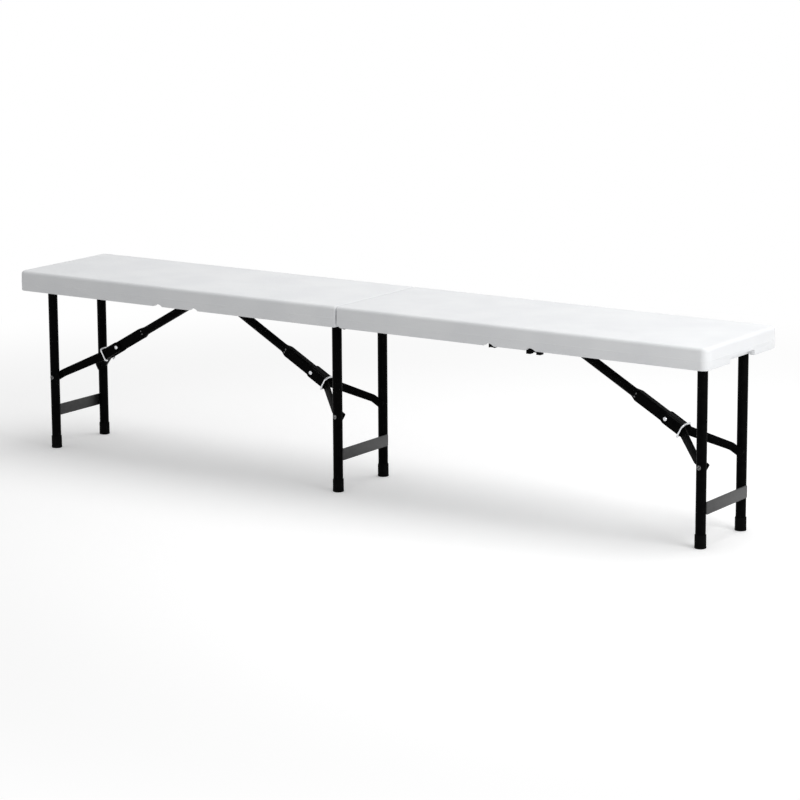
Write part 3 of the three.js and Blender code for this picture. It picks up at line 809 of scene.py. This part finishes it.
legShape = {
    "sideInset": 69 * mm,
    "radius": 11 * mm,
    "wall": 1.2 * mm,
    "abovePivot": 5.5 * mm,
    "openDepth": 60 * mm,
    "endRound": 0.4 * mm,
    "capFloor": 4.3 * mm,
    "sides": 40,
}
capShape = {
    "top": 12.3 * mm,
    "bottom": 12.7 * mm,
    "height": 29 * mm,
    "floor": 4 * mm,
    "bore": 11.3 * mm,
    "footEase": 1.2 * mm,
    "sole": 3.4 * mm,
    "soleStep": 0.35 * mm,
    "collar": 3 * mm,
}
barShape = {
    "height": 27 * mm,
    "thickness": 3 * mm,
    "centre": 86 * mm,
    "corner": 3 * mm,
    "gap": 0.3 * mm,
    "edgeRound": 0.5 * mm,
}
rodShape = {"radius": 4 * mm, "tipRound": 0.6 * mm}
forkDrop = 232.5 * mm


def capMesh():
    # a foot cap standing on the floor: sole, step, taper, collar and the bore for the tube
    shape = capShape
    ease, step = shape["footEase"], shape["soleStep"]
    cap = [
        (0, 0, 0),
        (shape["bottom"] - ease, 0, 1 * mm),
        (shape["bottom"], ease, 1 * mm),
        (shape["bottom"], shape["sole"], 0.5 * mm),
        (shape["bottom"] - step, 4 * mm, 0.5 * mm),
        (shape["top"], shape["height"] - shape["collar"], 0),
        (shape["top"], shape["height"], 0.8 * mm),
        (shape["bore"], shape["height"], 0.3 * mm),
        (shape["bore"], shape["floor"], 0),
        (0, shape["floor"], 0),
    ]
    profile = [(radius, height) for radius, height, edge in cap]
    return turnedMesh("cap", profile, legShape["sides"], [edge for radius, height, edge in cap])


def makeLegs():
    legY = halfWidth - legShape["sideInset"]
    for name in legFrames:
        matrix = frameMatrix(name)
        body = f"legs_{name}"
        for side in (-1, 1):
            label = sideName(matrix, side)
            place = matrix @ Matrix.Translation((0, side * legY, 0))
            inner = legShape["radius"] - legShape["wall"]
            low = legShape["capFloor"] - pivotHeight
            high = legShape["abovePivot"]
            tube = [
                (0, low),
                (legShape["radius"], low),
                (legShape["radius"], high),
                (inner, high),
                (inner, high - legShape["openDepth"]),
                (0, high - legShape["openDepth"]),
            ]
            rounds = [0, 0, legShape["endRound"], legShape["endRound"], 0, 0]
            mesh = turnedMesh("leg", tube, legShape["sides"], rounds, 3)
            addPiece(f"leg_{name}_{label}", moved(mesh, place), "blackPaint", body, f"{name}_leg_{label}")

            floorPlace = matrix @ Matrix.Translation((0, side * legY, -pivotHeight))
            node = f"{name}_foot_cap_{label}"
            addPiece(f"footCap_{name}_{label}", moved(capMesh(), floorPlace), "blackPlastic", body, node)

        # flat bar across both legs, on the side away from the brace
        low = barShape["centre"] - barShape["height"] / 2 - pivotHeight
        high = low + barShape["height"]
        corners = [(-legY, low, 0), (legY, low, 0), (legY, high, 0), (-legY, high, 0)]
        outline = filleted(corners, barShape["corner"], closed=True)
        face = -legShape["radius"] - barShape["gap"]
        mesh = slabMesh("bar", outline, face - barShape["thickness"], face, "X")
        mesh = eased("bar", mesh, barShape["edgeRound"])
        # the crossbar's lighter tone is painted sheen on the same black paint
        addPiece(f"crossbar_{name}", moved(mesh, matrix), "stripPaintWithPaintedSheen", body, f"{name}_crossbar")
    print("legs made")


def rodMesh(node):
    # a plain rod along Y between its node's ends, with eased ends
    low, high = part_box(node)
    middle = (low + high) / 2
    half = (high.y - low.y) / 2
    mesh = shaftMesh("rod", rodShape["radius"], -half, half, 28, rodShape["tipRound"])
    return moved(mesh, Matrix.Translation(middle) @ Matrix.Rotation(math.pi / 2, 4, "X"))


def makeRods():
    for name in legFrames:
        node = f"{name}_leg_axle"
        addPiece(f"legAxle_{name}", rodMesh(node), "blackPaint", f"legs_{name}", node)
    for side in halves:
        node = f"strut_rod_{side}"
        addPiece(f"strutRod_{side}", rodMesh(node), "blackPaint", f"seat_{side}", node)
    print("rods made")


# Braces: strut, fork arms, rivets and lock ring. In brace coordinates the fork's pivot is the origin and
# +X runs up the brace to the strut's pivot.

braceShape = {
    "tubeRadius": 10 * mm,
    "wall": 1.2 * mm,
    "flatLength": 16 * mm,
    "flatTaper": 24 * mm,
    "flatBulge": 1.6 * mm,
    "bladeThickness": 4 * mm,
    "bladeHeight": 20 * mm,
    "bladeGap": 0.3 * mm,
    "channelHalf": 10 * mm,
    "channelAbove": 12 * mm,
    "channelBelow": 12.5 * mm,
    "channelTail": 40.5 * mm,
    "channelLength": 120 * mm,
    "channelTaper": 18 * mm,
    "boxPower": 7.0,
    "crimpRadius": 2.4 * mm,
    "crimpDepth": 1.0 * mm,
    "crimpSpacing": 8 * mm,
    "crimpPlace": 0.35,
    "sectionSides": 48,
    "taperRings": 12,
}
forkShape = {
    "sheet": 2.8 * mm,
    "armHalf": 9 * mm,
    "plateHalf": 12 * mm,
    "humpEnd": 47 * mm,
    "rootLength": 49 * mm,
    "rootBelow": 11 * mm,
    "rootRise": 1 * mm,
    "roundBelow": 8 * mm,
    "roundAbove": 5 * mm,
    "legBend": 20 * mm,
    "tabLength": 9 * mm,
    "tabCorner": 3 * mm,
    "bendRadius": 7 * mm,
    "edgeRound": 0.45 * mm,
}
kneeShape = {"radius": 3 * mm, "headRadius": 4.6 * mm, "headHeight": 1.8 * mm, "hollow": 1.7 * mm}
legRivetShape = {"radius": 3 * mm, "headRadius": 5 * mm, "headHeight": 2 * mm, "hollow": 2.1 * mm}
ringShape = {
    "wireRadius": 2.2 * mm,
    "fromKnee": 43 * mm,
    "below": 15 * mm,
    "above": 15 * mm,
    "bendRadius": 6.5 * mm,
    "footTip": 10.8 * mm,
    "gap": 0.4 * mm,
}
touchGap = 0.3 * mm

braceReach = halfLength - seat["endInset"] - halfMiddle
braceAngle = math.atan2(forkDrop, braceReach)
braceLength = math.hypot(braceReach, forkDrop)
forkLength = braceLength - (braceLength + braceReach - forkDrop) / 2
legInnerFace = halfWidth - legShape["sideInset"] - legShape["radius"]
legOuterFace = halfWidth - legShape["sideInset"] + legShape["radius"]
plateInner = braceShape["channelHalf"] + touchGap
plateOuter = plateInner + forkShape["sheet"]
tabInner = legInnerFace - touchGap - forkShape["sheet"]


def braceMatrix(name):
    return frameMatrix(name) @ Matrix.Translation((0, 0, -forkDrop)) @ Matrix.Rotation(-braceAngle, 4, "Y")


def softRing(x, halfY, low, high, power, centreY=0.0):
    # a loop round the brace's line: an ellipse at power 2, nearly a box at a high power
    count = braceShape["sectionSides"]
    ring = []
    for i in range(count):
        angle = 2 * math.pi * (i + 0.5) / count
        across, upward = math.cos(angle), math.sin(angle)
        y = centreY + halfY * math.copysign(abs(across) ** (2 / power), across)
        z = (low + high) / 2 + (high - low) / 2 * math.copysign(abs(upward) ** (2 / power), upward)
        ring.append((x, y, z))
    return ring


def easeStep(share):
    # a soft start and a soft end between 0 and 1
    return share * share * (3 - 2 * share)


def barAlongY(name, radius, low, high, sides=32):
    return moved(shaftMesh(name, radius, low, high, sides), Matrix.Rotation(-math.pi / 2, 4, "X"))


def strutMesh():
    shape = braceShape
    half, radius, wall = shape["channelHalf"], shape["tubeRadius"], shape["wall"]
    above, below, box = shape["channelAbove"], shape["channelBelow"], shape["boxPower"]
    start = forkLength - shape["channelTail"]
    wide = start + shape["channelLength"]
    rounded = wide + shape["channelTaper"]
    flat = braceLength - shape["flatLength"]
    tubeEnd = flat - shape["flatTaper"]
    bladeY = -(shape["bladeThickness"] + shape["bladeGap"]) / 2
    bladeHalf = shape["bladeThickness"] / 2
    tall = shape["bladeHeight"] / 2
    spare = cutSpare
    shares = [i / shape["taperRings"] for i in range(shape["taperRings"] + 1)]

    # the tube: boxed channel, pressed taper, round run, flattened end
    rings = [softRing(start, half, -below, above, box)]
    for share in shares:
        k = easeStep(share)
        power = 2 / ((1 - k) * 2 / box + k)
        low = -below + (below - radius) * k
        high = above + (radius - above) * k
        rings.append(softRing(wide + (rounded - wide) * share, half + (radius - half) * k, low, high, power))
    for share in shares:
        k = easeStep(share)
        power = 2 / (1 - k + k * 2 / box)
        halfY = radius + (bladeHalf - radius) * k
        halfZ = radius + (tall - radius) * k + shape["flatBulge"] * math.sin(math.pi * share)
        rings.append(softRing(tubeEnd + (flat - tubeEnd) * share, halfY, -halfZ, halfZ, power, bladeY * k))
    rings.append(softRing(braceLength, bladeHalf, -tall, tall, box, bladeY))
    body = meshFromRings("strut", rings)
    eye = moved(barAlongY("eye", tall, bladeY - bladeHalf, bladeY + bladeHalf),
                Matrix.Translation((braceLength, 0, 0)))
    body = combined("strut", body, [eye], "UNION")

    # what is hollow: the channel's open underside, the bores and the pressed marks at the taper
    hollow = [
        softRing(start - spare, half - wall, -below - spare, above - wall, box),
        softRing(wide - spare, half - wall, -below - spare, above - wall, box),
        softRing(rounded - spare, radius - wall * 2, wall - radius, radius - wall, 3),
        softRing(rounded + spare * 2, radius - wall, wall - radius, radius - wall, 2),
    ]
    cutters = [meshFromRings("hollow", hollow)]
    bores = ((braceLength, rodShape["radius"] + touchGap), (forkLength, kneeShape["radius"] + touchGap))
    for place, bore in bores:
        cutters.append(moved(barAlongY("bore", bore, -half * 2, half * 2), Matrix.Translation((place, 0, 0))))
    marks = []
    for face in (-1, 1):
        for end in (-1, 1):
            depth = half - shape["crimpDepth"]
            low, high = sorted((face * depth, face * (depth + spare)))
            mark = barAlongY("mark", shape["crimpRadius"], low, high, 20)
            markX = wide + shape["channelTaper"] * shape["crimpPlace"]
            marks.append(moved(mark, Matrix.Translation((markX, 0, end * shape["crimpSpacing"] / 2))))
    cutters.append(joinedMesh("marks", marks))
    return combined("strut", body, cutters)


def crimpMesh():
    # the bottoms of the four pressed marks where the channel begins to taper; the light flecks of their
    # scuffed paint are partly wear and partly painted highlight
    shape = braceShape
    radius = shape["crimpRadius"] * 0.94
    floor = shape["channelHalf"] - shape["crimpDepth"] + 0.02 * mm
    wide = forkLength - shape["channelTail"] + shape["channelLength"]
    x = wide + shape["channelTaper"] * shape["crimpPlace"]
    profile = [(0, 0), (radius, 0), (radius * 0.6, 0.6 * mm), (0, 0.7 * mm)]
    dimples = []
    for face in (-1, 1):
        for end in (-1, 1):
            dimple = turnedMesh("dimple", profile, 20)
            place = Matrix.Translation((x, face * floor, end * shape["crimpSpacing"] / 2))
            dimples.append(moved(dimple, place @ Matrix.Rotation(-face * math.pi / 2, 4, "X")))
    return joinedMesh("crimp", dimples)


def offsetLine(line, thickness):
    # a line in plan and the same line moved over by a thickness, as one closed outline
    sides = []
    for i, point in enumerate(line):
        before = line[max(i - 1, 0)]
        after = line[min(i + 1, len(line) - 1)]
        along = (after - before).normalized()
        sides.append(point + Vector((along.y, -along.x, 0)) * thickness)
    return [(p.x, p.y) for p in sides] + [(p.x, p.y) for p in reversed(line)]


def domedHead(profile, shape, face, outward):
    # adds a rivet's head to a profile of (radius, along) pairs, with the dimple of a tubular rivet
    rim, height, hollow = shape["headRadius"], shape["headHeight"], shape["hollow"]
    for share, lift in ((1.0, 0.0), (1.0, 0.35), (0.93, 0.66), (0.78, 0.9), (0.6, 1.0)):
        profile.append((rim * share, face + outward * height * lift))
    profile += [
        (hollow, face + outward * height * 0.96),
        (hollow * 0.8, face + outward * height * 0.35),
        (0, face + outward * height * 0.3),
    ]
    return profile


def rivetMesh(name, shape, low, high, headLow=True, headHigh=True):
    # a rivet along Y from low to high, with the heads beyond them
    profile = list(reversed(domedHead([], shape, low, -1))) if headLow else [(0, low)]
    profile += [(shape["radius"], low), (shape["radius"], high)]
    if headHigh:
        domedHead(profile, shape, high, 1)
    else:
        profile.append((0, high))
    return moved(turnedMesh(name, profile, 32), Matrix.Rotation(-math.pi / 2, 4, "X"))


def forkArmMesh(side):
    # a strip bent in plan, cut to its outline seen from the side
    shape = forkShape
    half, plate, corner = shape["armHalf"], shape["plateHalf"], shape["tabCorner"]
    rootX = forkLength - shape["rootLength"]
    tip = -shape["tabLength"]
    spare = cutSpare
    bends = [
        (forkLength + plate + spare, plateInner, 0),
        (rootX, plateInner, 0),
        (shape["legBend"], tabInner, 0),
        (tip - spare, tabInner, 0),
    ]
    plan = filleted(bends, shape["bendRadius"], 6)
    strip = slabMesh("strip", offsetLine(plan, shape["sheet"]), -plate - spare, plate + spare, "Z")

    # the outline: squared tab, narrow arm, wider plate with a round end at the knee
    corners = [
        (tip, -half, 0),
        (shape["legBend"], -half, 0),
        (rootX, -shape["rootBelow"], 0),
        (forkLength - shape["humpEnd"], -plate, 0),
        (forkLength, -plate, 0),
    ]
    radii = [corner, 0, shape["roundBelow"], shape["roundBelow"], 0]
    for i in range(1, 16):
        angle = -math.pi / 2 + math.pi * i / 16
        corners.append((forkLength + plate * math.cos(angle), plate * math.sin(angle), 0))
        radii.append(0)
    corners += [
        (forkLength, plate, 0),
        (forkLength - shape["humpEnd"], plate, 0),
        (rootX, half + shape["rootRise"], 0),
        (shape["legBend"], half, 0),
        (tip, half, 0),
    ]
    radii += [0, shape["roundAbove"], shape["roundAbove"], 0, corner]
    outline = [(p.x, p.y) for p in filleted(corners, radii, 6, closed=True)]
    plateBody = slabMesh("outline", outline, 0, legOuterFace, "Y")
    arm = combined("arm", plateBody, [strip], "INTERSECT")
    knee = barAlongY("bore", kneeShape["radius"] + touchGap, 0, legOuterFace)
    arm = combined("arm", arm, [moved(knee, Matrix.Translation((forkLength, 0, 0)))])
    arm = eased("arm", arm, shape["edgeRound"])
    head = rivetMesh("head", legRivetShape, tabInner, tabInner + shape["sheet"] / 2, True, False)
    arm = joinedMesh("arm", [arm, head])
    return arm if side > 0 else moved(arm, Matrix.Diagonal((1, -1, 1, 1)))


def ringMesh():
    # a wire clip round the fork, open below
    shape = ringShape
    headOuter = plateOuter + touchGap + kneeShape["headHeight"]
    side = headOuter + shape["gap"] + shape["wireRadius"]
    low, high = -shape["below"], shape["above"]
    x = forkLength - shape["fromKnee"]
    corners = [
        (x, -shape["footTip"], low),
        (x, -side, low),
        (x, -side, high),
        (x, side, high),
        (x, side, low),
        (x, shape["footTip"], low),
    ]
    return pipeMesh("ring", filleted(corners, shape["bendRadius"], 8), shape["wireRadius"], 18)


def makeBraces():
    for name in legFrames:
        matrix = braceMatrix(name)
        strut = moved(strutMesh(), matrix)
        addPiece(f"strut_{name}", strut, "blackPaint", f"strut_{name}", f"{name}_strut")
        crimps = moved(crimpMesh(), matrix)
        addPiece(f"crimps_{name}", crimps, "wornPaintAndPaintedGlints", f"strut_{name}", f"{name}_strut")
        body = f"fork_{name}"
        for side in (-1, 1):
            label = sideName(matrix, side)
            arm = moved(forkArmMesh(side), matrix)
            addPiece(f"forkArm_{name}_{label}", arm, "blackPaint", body, f"{name}_fork_arm_{label}")
            rivet = rivetMesh("legRivet", legRivetShape, legInnerFace, legOuterFace + touchGap, False, True)
            if side < 0:
                rivet = moved(rivet, Matrix.Diagonal((1, -1, 1, 1)))
            rivet = moved(rivet, frameMatrix(name) @ Matrix.Translation((0, 0, -forkDrop)))
            # the fork rivets wear the scuffed paint, whose light flecks are partly wear and partly painted
            # glints
            node = f"{name}_fork_rivet_{label}"
            addPiece(f"forkRivet_{name}_{label}", rivet, "wornPaintAndPaintedGlints", f"legs_{name}", node)
        face = plateOuter + touchGap
        kneePlace = matrix @ Matrix.Translation((forkLength, 0, 0))
        knee = moved(rivetMesh("knee", kneeShape, -face, face), kneePlace)
        addPiece(f"kneeRivet_{name}", knee, "zinc", body, f"{name}_knee_rivet")
        addPiece(f"lockRing_{name}", moved(ringMesh(), matrix), "zinc", f"ring_{name}", f"{name}_lock_ring")
    print("braces made")


# Rails, screws, hinge pins, and the carry handle with its saddles.

railEdge = 0.4 * mm
screwShape = {
    "radius": 2.2 * mm,
    "length": 9 * mm,
    "headRadius": 4.2 * mm,
    "headHeight": 2.4 * mm,
    "slotReach": 0.55,
    "slotHalf": 0.55 * mm,
    "slotDepth": 1.3 * mm,
}
seamPinShape = {"radius": 3.5 * mm, "headRadius": 5.5 * mm, "headHeight": 2 * mm, "hollow": 2.2 * mm}
handleShape = {
    "wireRadius": 4 * mm,
    "armReach": 60 * mm,
    "armSpacing": 103 * mm,
    "bendRadius": 12 * mm,
    "gripRadius": 4.6 * mm,
    "gripHalf": 34 * mm,
    "ribs": 9,
    "ribDepth": 0.45 * mm,
    "ribInset": 1.5 * mm,
    "eyeRadius": 5.2 * mm,
    "eyeHalf": 4.2 * mm,
    "pinRadius": 2.4 * mm,
    "pinHalfInner": 7.1 * mm,
    "pinHalfOuter": 9.65 * mm,
    "tipRound": 0.6 * mm,
    "saddleEdge": 0.35 * mm,
}


def nodeCopy(node):
    # a working copy of a frame node's mesh, in world places
    thing = frame["nodes"][node]
    mesh = thing.data.copy()
    mesh.transform(thing.matrix_world)
    shape = bmesh.new()
    shape.from_mesh(mesh)
    bmesh.ops.remove_doubles(shape, verts=shape.verts, dist=0.001 * mm)
    flat = math.radians(1)
    bmesh.ops.dissolve_limit(shape, angle_limit=flat, verts=shape.verts, edges=shape.edges)
    shape.to_mesh(mesh)
    shape.free()
    return mesh


def makeRails():
    for half in halves:
        for label in ("near", "far"):
            node = f"side_rail_{half}_{label}"
            mesh = eased(node, nodeCopy(node), railEdge, 50)
            addPiece(f"sideRail_{half}_{label}", mesh, "blackPaint", f"seat_{half}", node)
            for end in ("inner", "outer"):
                makeScrew(half, f"rail_screw_{half}_{label}_{end}")
    print("rails made")


def makeScrew(half, node):
    # pan head with a crossed recess
    low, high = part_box(node)
    middle = (low + high) / 2
    head = screwShape["headHeight"]
    rim = screwShape["headRadius"]
    profile = [
        (0, 0),
        (rim * 0.62, 0.02 * mm),
        (rim * 0.88, head * 0.3),
        (rim, head * 0.75),
        (rim, head),
        (screwShape["radius"], head),
        (screwShape["radius"], head + screwShape["length"] * 0.7),
        (0, head + screwShape["length"]),
    ]
    body = turnedMesh("screw", profile, 28)
    arm, slot = rim * screwShape["slotReach"], screwShape["slotHalf"]
    bars = [
        slabMesh("bar", [(-a, -b), (a, -b), (a, b), (-a, b)], -1 * mm, screwShape["slotDepth"], "Z")
        for a, b in ((arm, slot), (slot, arm))
    ]
    mesh = combined("screw", body, bars)
    place = Matrix.Translation((middle.x, middle.y, low.z))
    name = "railScrew" + node.removeprefix("rail_screw")
    addPiece(name, moved(mesh, place), "zinc", f"seat_{half}", node)


def makeHingePins():
    for label in ("near", "far"):
        node = f"hinge_pin_{label}"
        low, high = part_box(node)
        head = seamPinShape["headHeight"]
        mesh = rivetMesh("hingePin", seamPinShape, low.y + head, high.y - head)
        place = Matrix.Translation((0, 0, foldHeight))
        addPiece(f"hingePin_{label}", moved(mesh, place), "zinc", "seat_left", node)
    print("hinge pins made")


def makeHandle():
    # drawn about its own pivot, then put where the frame's joint has it
    shape = handleShape
    side = shape["armSpacing"] / 2
    reach = shape["armReach"]
    joints = frame["record"]["behaviour"]["joints"]
    swing = next(joint for joint in joints if joint["name"] == "handle_swing")
    corners = [(-side, 0, 0), (-side, reach, 0), (side, reach, 0), (side, 0, 0)]
    bail = pipeMesh("bail", filleted(corners, shape["bendRadius"], 8), shape["wireRadius"], 20)

    # grip with soft ribs, turned along X
    half = shape["gripHalf"]
    profile = [(0, -half), (shape["gripRadius"] * 0.94, -half)]
    steps = shape["ribs"] * 6
    for i in range(steps + 1):
        swell = 0.5 - 0.5 * math.cos(2 * math.pi * i / 6)
        along = -half + shape["ribInset"] + (2 * half - 2 * shape["ribInset"]) * i / steps
        profile.append((shape["gripRadius"] - shape["ribDepth"] * (1 - swell), along))
    profile += [(shape["gripRadius"] * 0.94, half), (0, half)]
    lie = Matrix.Rotation(math.pi / 2, 4, "Y")
    grip = moved(turnedMesh("grip", profile, 28), Matrix.Translation((0, reach, 0)) @ lie)
    parts = [bail, grip]
    for x, pin in ((-side, shape["pinHalfInner"]), (side, shape["pinHalfOuter"])):
        for radius, length in ((shape["eyeRadius"], shape["eyeHalf"]), (shape["pinRadius"], pin)):
            shaft = shaftMesh("eye", radius, -length, length, 28, shape["tipRound"])
            parts.append(moved(shaft, Matrix.Translation((x, 0, 0)) @ lie))
    handle = moved(joinedMesh("handle", parts), Matrix.Translation(swing["pos_m"]))
    addPiece("carryHandle", handle, "blackPlastic", "handle", "carry_handle")
    for label in ("inner", "outer"):
        node = f"handle_saddle_{label}"
        mesh = eased(node, nodeCopy(node), shape["saddleEdge"], 50)
        addPiece(f"handleSaddle_{label}", mesh, "blackPlastic", "seat_right", node)
    print("handle made")


makeSeat()
makeLegs()
makeRods()
makeBraces()
makeRails()
makeHingePins()
makeHandle()

# Floor, light and camera.

stage = {
    "floorRadius": 14.0,
    "floorTone": (0.86, 0.86, 0.86, 1),
    "floorGlow": 0.25,
    "whiteFrom": 1.2,
    "whiteTo": 2.4,
    "worldStrength": 0.43,
    "lampAim": (0, 0, 0.35),
}
lamps = [
    {"name": "endLight", "place": (2.3, -0.4, 1.1), "size": 1.2, "power": 15.9},
    {"name": "topLight", "place": (0.6, 0.6, 3.4), "size": 3.2, "power": 62},
]
camera = {
    "azimuth": 34.588,
    "elevation": 10.992,
    "roll": -0.403,
    "distance": 6.5724,
    "target": (0, 0, 0.3),
    "lens": 132.32,
    "sensor": 36,
    "shift": (0.0293, -0.0557),
}


def seenDirectly(tree):
    # 1 where the camera sees it directly, in a reflection or through glass
    paths = addNode(tree, "ShaderNodeLightPath")
    first = addNode(tree, "ShaderNodeMath", operation="MAXIMUM")
    both = addNode(tree, "ShaderNodeMath", operation="MAXIMUM")
    tree.links.new(paths.outputs["Is Camera Ray"], first.inputs[0])
    tree.links.new(paths.outputs["Is Glossy Ray"], first.inputs[1])
    tree.links.new(first.outputs["Value"], both.inputs[0])
    tree.links.new(paths.outputs["Is Transmission Ray"], both.inputs[1])
    return both.outputs["Value"]


def makeFloor():
    # pale near the bench, where it keeps the shadow, and plain white further out; see-through from below
    shape = bmesh.new()
    bmesh.ops.create_circle(shape, cap_ends=True, segments=96, radius=stage["floorRadius"])
    mesh = bpy.data.meshes.new("floor")
    shape.to_mesh(mesh)
    shape.free()
    floor = bpy.data.objects.new("floor", mesh)
    bpy.context.scene.collection.objects.link(floor)
    material = bpy.data.materials.new("floorWhite")
    material.use_nodes = True
    tree = material.node_tree
    links = tree.links
    tree.nodes.clear()
    output = addNode(tree, "ShaderNodeOutputMaterial")
    matt = addNode(tree, "ShaderNodeBsdfDiffuse", {"Color": stage["floorTone"]})
    glow = addNode(tree, "ShaderNodeEmission", {"Color": (1, 1, 1, 1)})
    lit = addNode(tree, "ShaderNodeAddShader")
    white = addNode(tree, "ShaderNodeEmission", {"Color": (1, 1, 1, 1), "Strength": 1.0})
    fade = addNode(tree, "ShaderNodeMixShader")
    geometry = addNode(tree, "ShaderNodeNewGeometry")
    clear = addNode(tree, "ShaderNodeBsdfTransparent")
    oneSided = addNode(tree, "ShaderNodeMixShader")
    lift = addNode(tree, "ShaderNodeMath", {1: stage["floorGlow"]}, operation="MULTIPLY")
    reach = addNode(tree, "ShaderNodeVectorMath", operation="LENGTH")
    whiteRange = {"From Min": stage["whiteFrom"], "From Max": stage["whiteTo"]}
    away = addNode(tree, "ShaderNodeMapRange", whiteRange, interpolation_type="SMOOTHSTEP")
    direct = addNode(tree, "ShaderNodeMath", operation="MULTIPLY")
    seen = seenDirectly(tree)
    links.new(objectPlace(tree), reach.inputs[0])
    links.new(reach.outputs["Value"], away.inputs["Value"])
    links.new(seen, lift.inputs[0])
    links.new(lift.outputs["Value"], glow.inputs["Strength"])
    links.new(matt.outputs["BSDF"], lit.inputs[0])
    links.new(glow.outputs["Emission"], lit.inputs[1])
    links.new(away.outputs["Result"], direct.inputs[0])
    links.new(seen, direct.inputs[1])
    links.new(direct.outputs["Value"], fade.inputs["Fac"])
    links.new(lit.outputs["Shader"], fade.inputs[1])
    links.new(white.outputs["Emission"], fade.inputs[2])
    links.new(geometry.outputs["Backfacing"], oneSided.inputs["Fac"])
    links.new(fade.outputs["Shader"], oneSided.inputs[1])
    links.new(clear.outputs["BSDF"], oneSided.inputs[2])
    links.new(oneSided.outputs["Shader"], output.inputs["Surface"])
    mesh.materials.append(material)


def makeWorld():
    world = bpy.data.worlds.new("paleStudio")
    bpy.context.scene.world = world
    world.use_nodes = True
    tree = world.node_tree
    tree.nodes.clear()
    output = addNode(tree, "ShaderNodeOutputWorld")
    soft = addNode(tree, "ShaderNodeBackground", {"Color": (1, 1, 1, 1), "Strength": stage["worldStrength"]})
    white = addNode(tree, "ShaderNodeBackground", {"Color": (1, 1, 1, 1), "Strength": 1.0})
    choice = addNode(tree, "ShaderNodeMixShader")
    tree.links.new(seenDirectly(tree), choice.inputs["Fac"])
    tree.links.new(soft.outputs["Background"], choice.inputs[1])
    tree.links.new(white.outputs["Background"], choice.inputs[2])
    tree.links.new(choice.outputs["Shader"], output.inputs["Surface"])


def makeLamps():
    aim = Vector(stage["lampAim"])
    for lamp in lamps:
        light = bpy.data.lights.new(lamp["name"], "AREA")
        light.shape = "DISK"
        light.size = lamp["size"]
        light.energy = lamp["power"]
        thing = bpy.data.objects.new(lamp["name"], light)
        thing.location = lamp["place"]
        thing.rotation_euler = (aim - Vector(lamp["place"])).to_track_quat("-Z", "Y").to_euler()
        bpy.context.scene.collection.objects.link(thing)


def makeCamera():
    azimuth, elevation, roll = (math.radians(camera[key]) for key in ("azimuth", "elevation", "roll"))
    level = math.cos(elevation)
    back = Vector((math.sin(azimuth) * level, -math.cos(azimuth) * level, math.sin(elevation)))
    right = Vector((math.cos(azimuth), math.sin(azimuth), 0))
    up = back.cross(right)
    across = right * math.cos(roll) + up * math.sin(roll)
    upright = up * math.cos(roll) - right * math.sin(roll)
    data = bpy.data.cameras.new("photoView")
    data.lens = camera["lens"]
    data.sensor_width = camera["sensor"]
    data.shift_x, data.shift_y = camera["shift"]
    data.clip_end = 100
    thing = bpy.data.objects.new("photoView", data)
    turn = Matrix((across, upright, back)).transposed().to_4x4()
    thing.matrix_world = Matrix.Translation(Vector(camera["target"]) + back * camera["distance"]) @ turn
    bpy.context.scene.collection.objects.link(thing)
    bpy.context.scene.camera = thing


makeFloor()
makeWorld()
makeLamps()
makeCamera()
bpy.context.scene.view_settings.view_transform = "Standard"
print("stage set")
